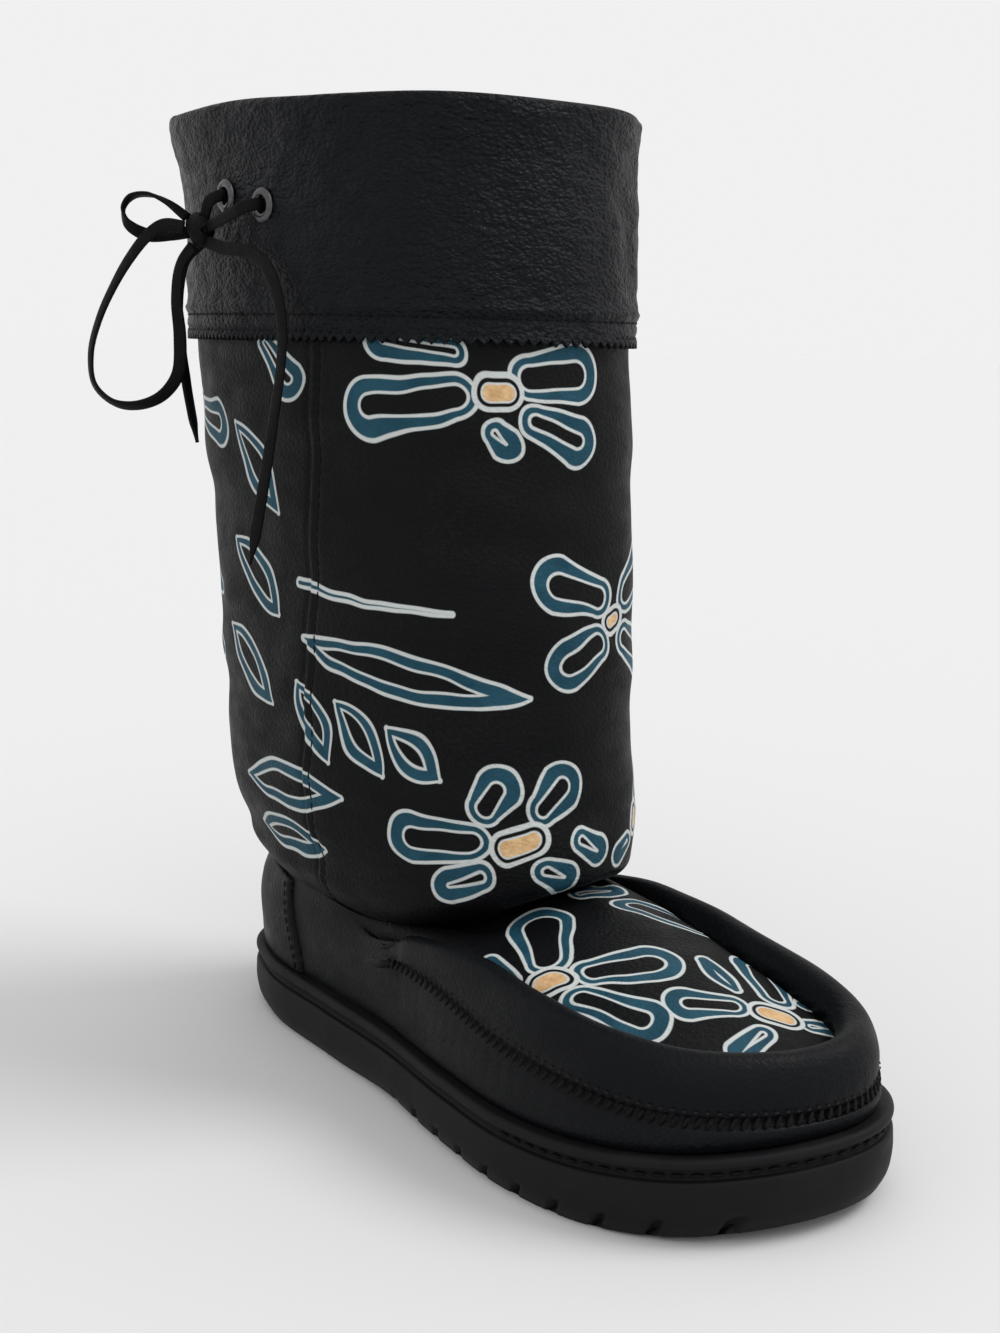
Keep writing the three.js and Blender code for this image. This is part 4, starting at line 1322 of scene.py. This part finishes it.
# Print patterns in millimetres on the flat panels: round centres with a length and half-width, and
# leaves with a root, a tip, the half-widths there and a belly between
shaftPrint = {
    "flowers": [
        {"at": (-21, 217), "heart": (5, 3.0), "lie": -5},
        {"at": (19, 150), "heart": (2.5, 2.0), "lie": 20},
        {"at": (-19, 86), "heart": (9, 3.0), "lie": 18},
        {"at": (34, 85), "heart": (3, 1.8), "lie": 60},
        {"at": (78, 214), "heart": (5, 3.0)}, {"at": (150, 208), "heart": (4, 2.6), "lie": 30},
        {"at": (66, 96), "heart": (5, 2.8), "lie": -20},
        {"at": (158, 92), "heart": (7, 3.0), "lie": 10},
        {"at": (-160, 208), "heart": (5, 2.8), "lie": 10}, {"at": (118, 146), "heart": (2.5, 2.2)},
    ],
    "leaves": [
        # over the front
        ((-33, 215), (-57, 211), 6.5, 8.5, 0), ((-33, 227), (-52, 230), 4.5, 6.5, 0),
        ((-11, 221), (4, 222), 6.5, 9, 0),
        ((-10, 209), (3, 203), 5, 7.5, 0), ((-22, 206), (-19, 203), 4, 5.5, 0),
        ((11, 157), (-4, 162), 6.5, 9.5, 0), ((11, 143), (0, 138), 6, 8.5, 0),
        ((27, 157), (42, 162), 6.5, 9.5, 0), ((27, 143), (39, 138), 6, 8.5, 0),
        ((-34, 86), (-51, 88), 6.5, 9, 0), ((-29, 97), (-24, 103), 6, 8, 0),
        ((-11, 96), (-4, 101), 5.5, 8, 0),
        ((1, 85), (8, 81), 4.5, 5.5, 0), ((-31, 76), (-40, 73), 4.5, 6, 0),
        ((-11, 77), (-5, 74), 4.5, 5.5, 0),
        ((39, 92), (47, 97), 5.5, 7.5, 0), ((26, 80), (20, 77), 3.5, 4.5, 0),
        ((40, 79), (46, 75), 4.5, 5.5, 0),
        # the spray of leaves on the outer side
        ((-92, 159), (-36, 154), 1.7, 1.0, 0), ((-90, 142), (-14, 129), 1.2, 0.9, 6.6),
        ((-94, 129), (-80, 107), 1.0, 1.0, 6.4), ((-76, 125), (-60, 106), 1.0, 1.0, 6.2),
        ((-57, 119), (-41, 106), 0.9, 0.9, 5.4), ((-132, 94), (-76, 96), 1.2, 1.2, 6.8),
        ((-134, 77), (-90, 77), 1.0, 1.0, 5.4), ((-98, 229), (-88, 219), 4, 7, 0),
        ((-120, 205), (-100, 178), 1.0, 1.0, 7.0), ((-128, 170), (-102, 148), 1.0, 1.0, 6.6),
        ((-138, 140), (-108, 120), 1.0, 1.0, 6.4),
        # the inner side and the back
        ((88, 216), (108, 212), 5.5, 8.5, 0), ((81, 205), (85, 195), 5, 7.5, 0),
        ((68, 211), (53, 206), 5, 8, 0),
        ((71, 222), (60, 227), 4, 6, 0), ((142, 205), (126, 199), 5, 8.5, 0),
        ((158, 213), (174, 219), 5, 8.5, 0),
        ((153, 199), (159, 188), 4.5, 7.5, 0), ((110, 150), (92, 156), 5, 8.5, 0),
        ((111, 141), (94, 135), 5, 8, 0),
        ((126, 150), (144, 156), 5, 8.5, 0), ((125, 141), (142, 134), 5, 8, 0),
        ((118, 137), (117, 127), 4, 6.5, 0),
        ((75, 95), (92, 91), 5.5, 8.5, 0), ((62, 104), (58, 112), 5, 7, 0),
        ((68, 87), (73, 79), 4, 5.5, 0),
        ((148, 92), (134, 96), 5.5, 8.5, 0), ((169, 94), (185, 100), 5.5, 8.5, 0),
        ((160, 82), (165, 75), 4, 5.5, 0),
        ((-151, 207), (-134, 204), 5, 8, 0), ((-169, 212), (-185, 217), 5, 8, 0),
        ((-160, 200), (-163, 190), 4.5, 7, 0),
        ((-204, 166), (-150, 152), 2.4, 2.6, 5.0), ((-196, 140), (-152, 130), 2.2, 2.6, 4.4),
    ],
}
plugPrint = {
    "flowers": [
        {"at": (189, -30), "heart": (3, 3.3), "lie": 80},
        {"at": (236, 14), "heart": (5, 3.0), "lie": 50},
    ],
    "leaves": [
        ((181, -24), (163, -14), 7, 11, 0), ((194, -19), (201, -3), 6.5, 10, 0),
        ((201, -29), (220, -21), 6, 8.5, 0),
        ((180, -36), (166, -36), 3, 4.5, 0), ((199, -39), (218, -37), 2, 2.8, 1.2),
        ((228, 22), (213, 30), 6, 9, 0), ((228, 4), (222, -6), 6, 8, 0),
        ((242, 4), (244, -8), 4, 5, 0),
        ((242, 22), (244, 30), 4, 5, 0), ((222, 12), (206, 13), 2.2, 3.0, 1.6),
        ((232, 29), (228, 39), 2.4, 3, 1),
        ((186, 30), (168, 21), 6.5, 9.5, 0), ((154, 8), (150, 24), 4, 6, 0),
    ],
}


def shiftedPrint(pattern, distance):
    return {
        "flowers": [
            {**flower, "at": (flower["at"][0] + distance, flower["at"][1])} for flower in pattern["flowers"]
        ],
        "leaves": [
            ((root[0] + distance, root[1]), (tip[0] + distance, tip[1]), *sizes)
            for root, tip, *sizes in pattern["leaves"]
        ],
    }


shaftColour = printColour(shiftedPrint(shaftPrint, shaftGirth / 2))
shaftLeather = leatherMaterial("printedShaft", leathers["printed"], shaftColour)
plugLeather = leatherMaterial("printedPlug", leathers["printed"], printColour(plugPrint))
grainLeather = leatherMaterial("grainLeather", leathers["grain"])
thongLeather = leatherMaterial("thongLeather", leathers["thong"])
soleRubber = rubberMaterial()
fleece = fleeceMaterial()
eyeletSteel = steelMaterial()
thread = threadMaterial()
# Near-black material that paints the shade inside the stitch holes
paintedHoleShade, _, _ = newMaterial("paintedHoleShade", {"Base Color": (0.001, 0.001, 0.001, 1), "Roughness": 1.0})
print("materials ready")

makeLaces()
makeKnot()
print("bow made")
makeFootUpper()
makeRoll()
makePlug()
makeHeelCounter()
print("foot made")
makeSole()
print("sole made")
makeShaft()
makeCuff()
makeEyelets()
print("shaft and cuff made")
makeLining()
makeStitches()
print("lining and stitches made")


# Floor and light
studio = {
    "floor": 60.0,
    "floorColour": (0.645, 0.645, 0.645, 1),
    "worldColour": (0.875, 0.875, 0.878, 1),
    "worldStrength": 1.0,
    "suns": {  # where the light comes from, strength, soft angle in degrees
        "key": ((0.55, 0.75, 1.25), 1.35, 28),
        "fill": ((0.9, -0.5, 1.2), 0.45, 50),
    },
}


def makeStudio():
    mesh = bmesh.new()
    bmesh.ops.create_grid(mesh, x_segments=1, y_segments=1, size=studio["floor"])
    data = bpy.data.meshes.new("floor")
    mesh.to_mesh(data)
    mesh.free()
    material, _, _ = newMaterial("floorPaper", {"Base Color": studio["floorColour"], "Roughness": 0.9})
    data.materials.append(material)
    floor = bpy.data.objects.new("floor", data)
    bpy.context.scene.collection.objects.link(floor)
    world = bpy.data.worlds.new("studio")
    world.use_nodes = True
    background = world.node_tree.nodes["Background"]
    background.inputs["Color"].default_value = studio["worldColour"]
    background.inputs["Strength"].default_value = studio["worldStrength"]
    bpy.context.scene.world = world
    for name, (spot, strength, angle) in studio["suns"].items():
        data = bpy.data.lights.new(name, "SUN")
        data.energy, data.angle = strength, math.radians(angle)
        light = bpy.data.objects.new(name, data)
        light.location = spot
        light.rotation_euler = (-Vector(spot)).to_track_quat("-Z", "Y").to_euler()
        bpy.context.scene.collection.objects.link(light)
    bpy.context.scene.view_settings.view_transform = "Standard"


makeStudio()
print("studio ready")
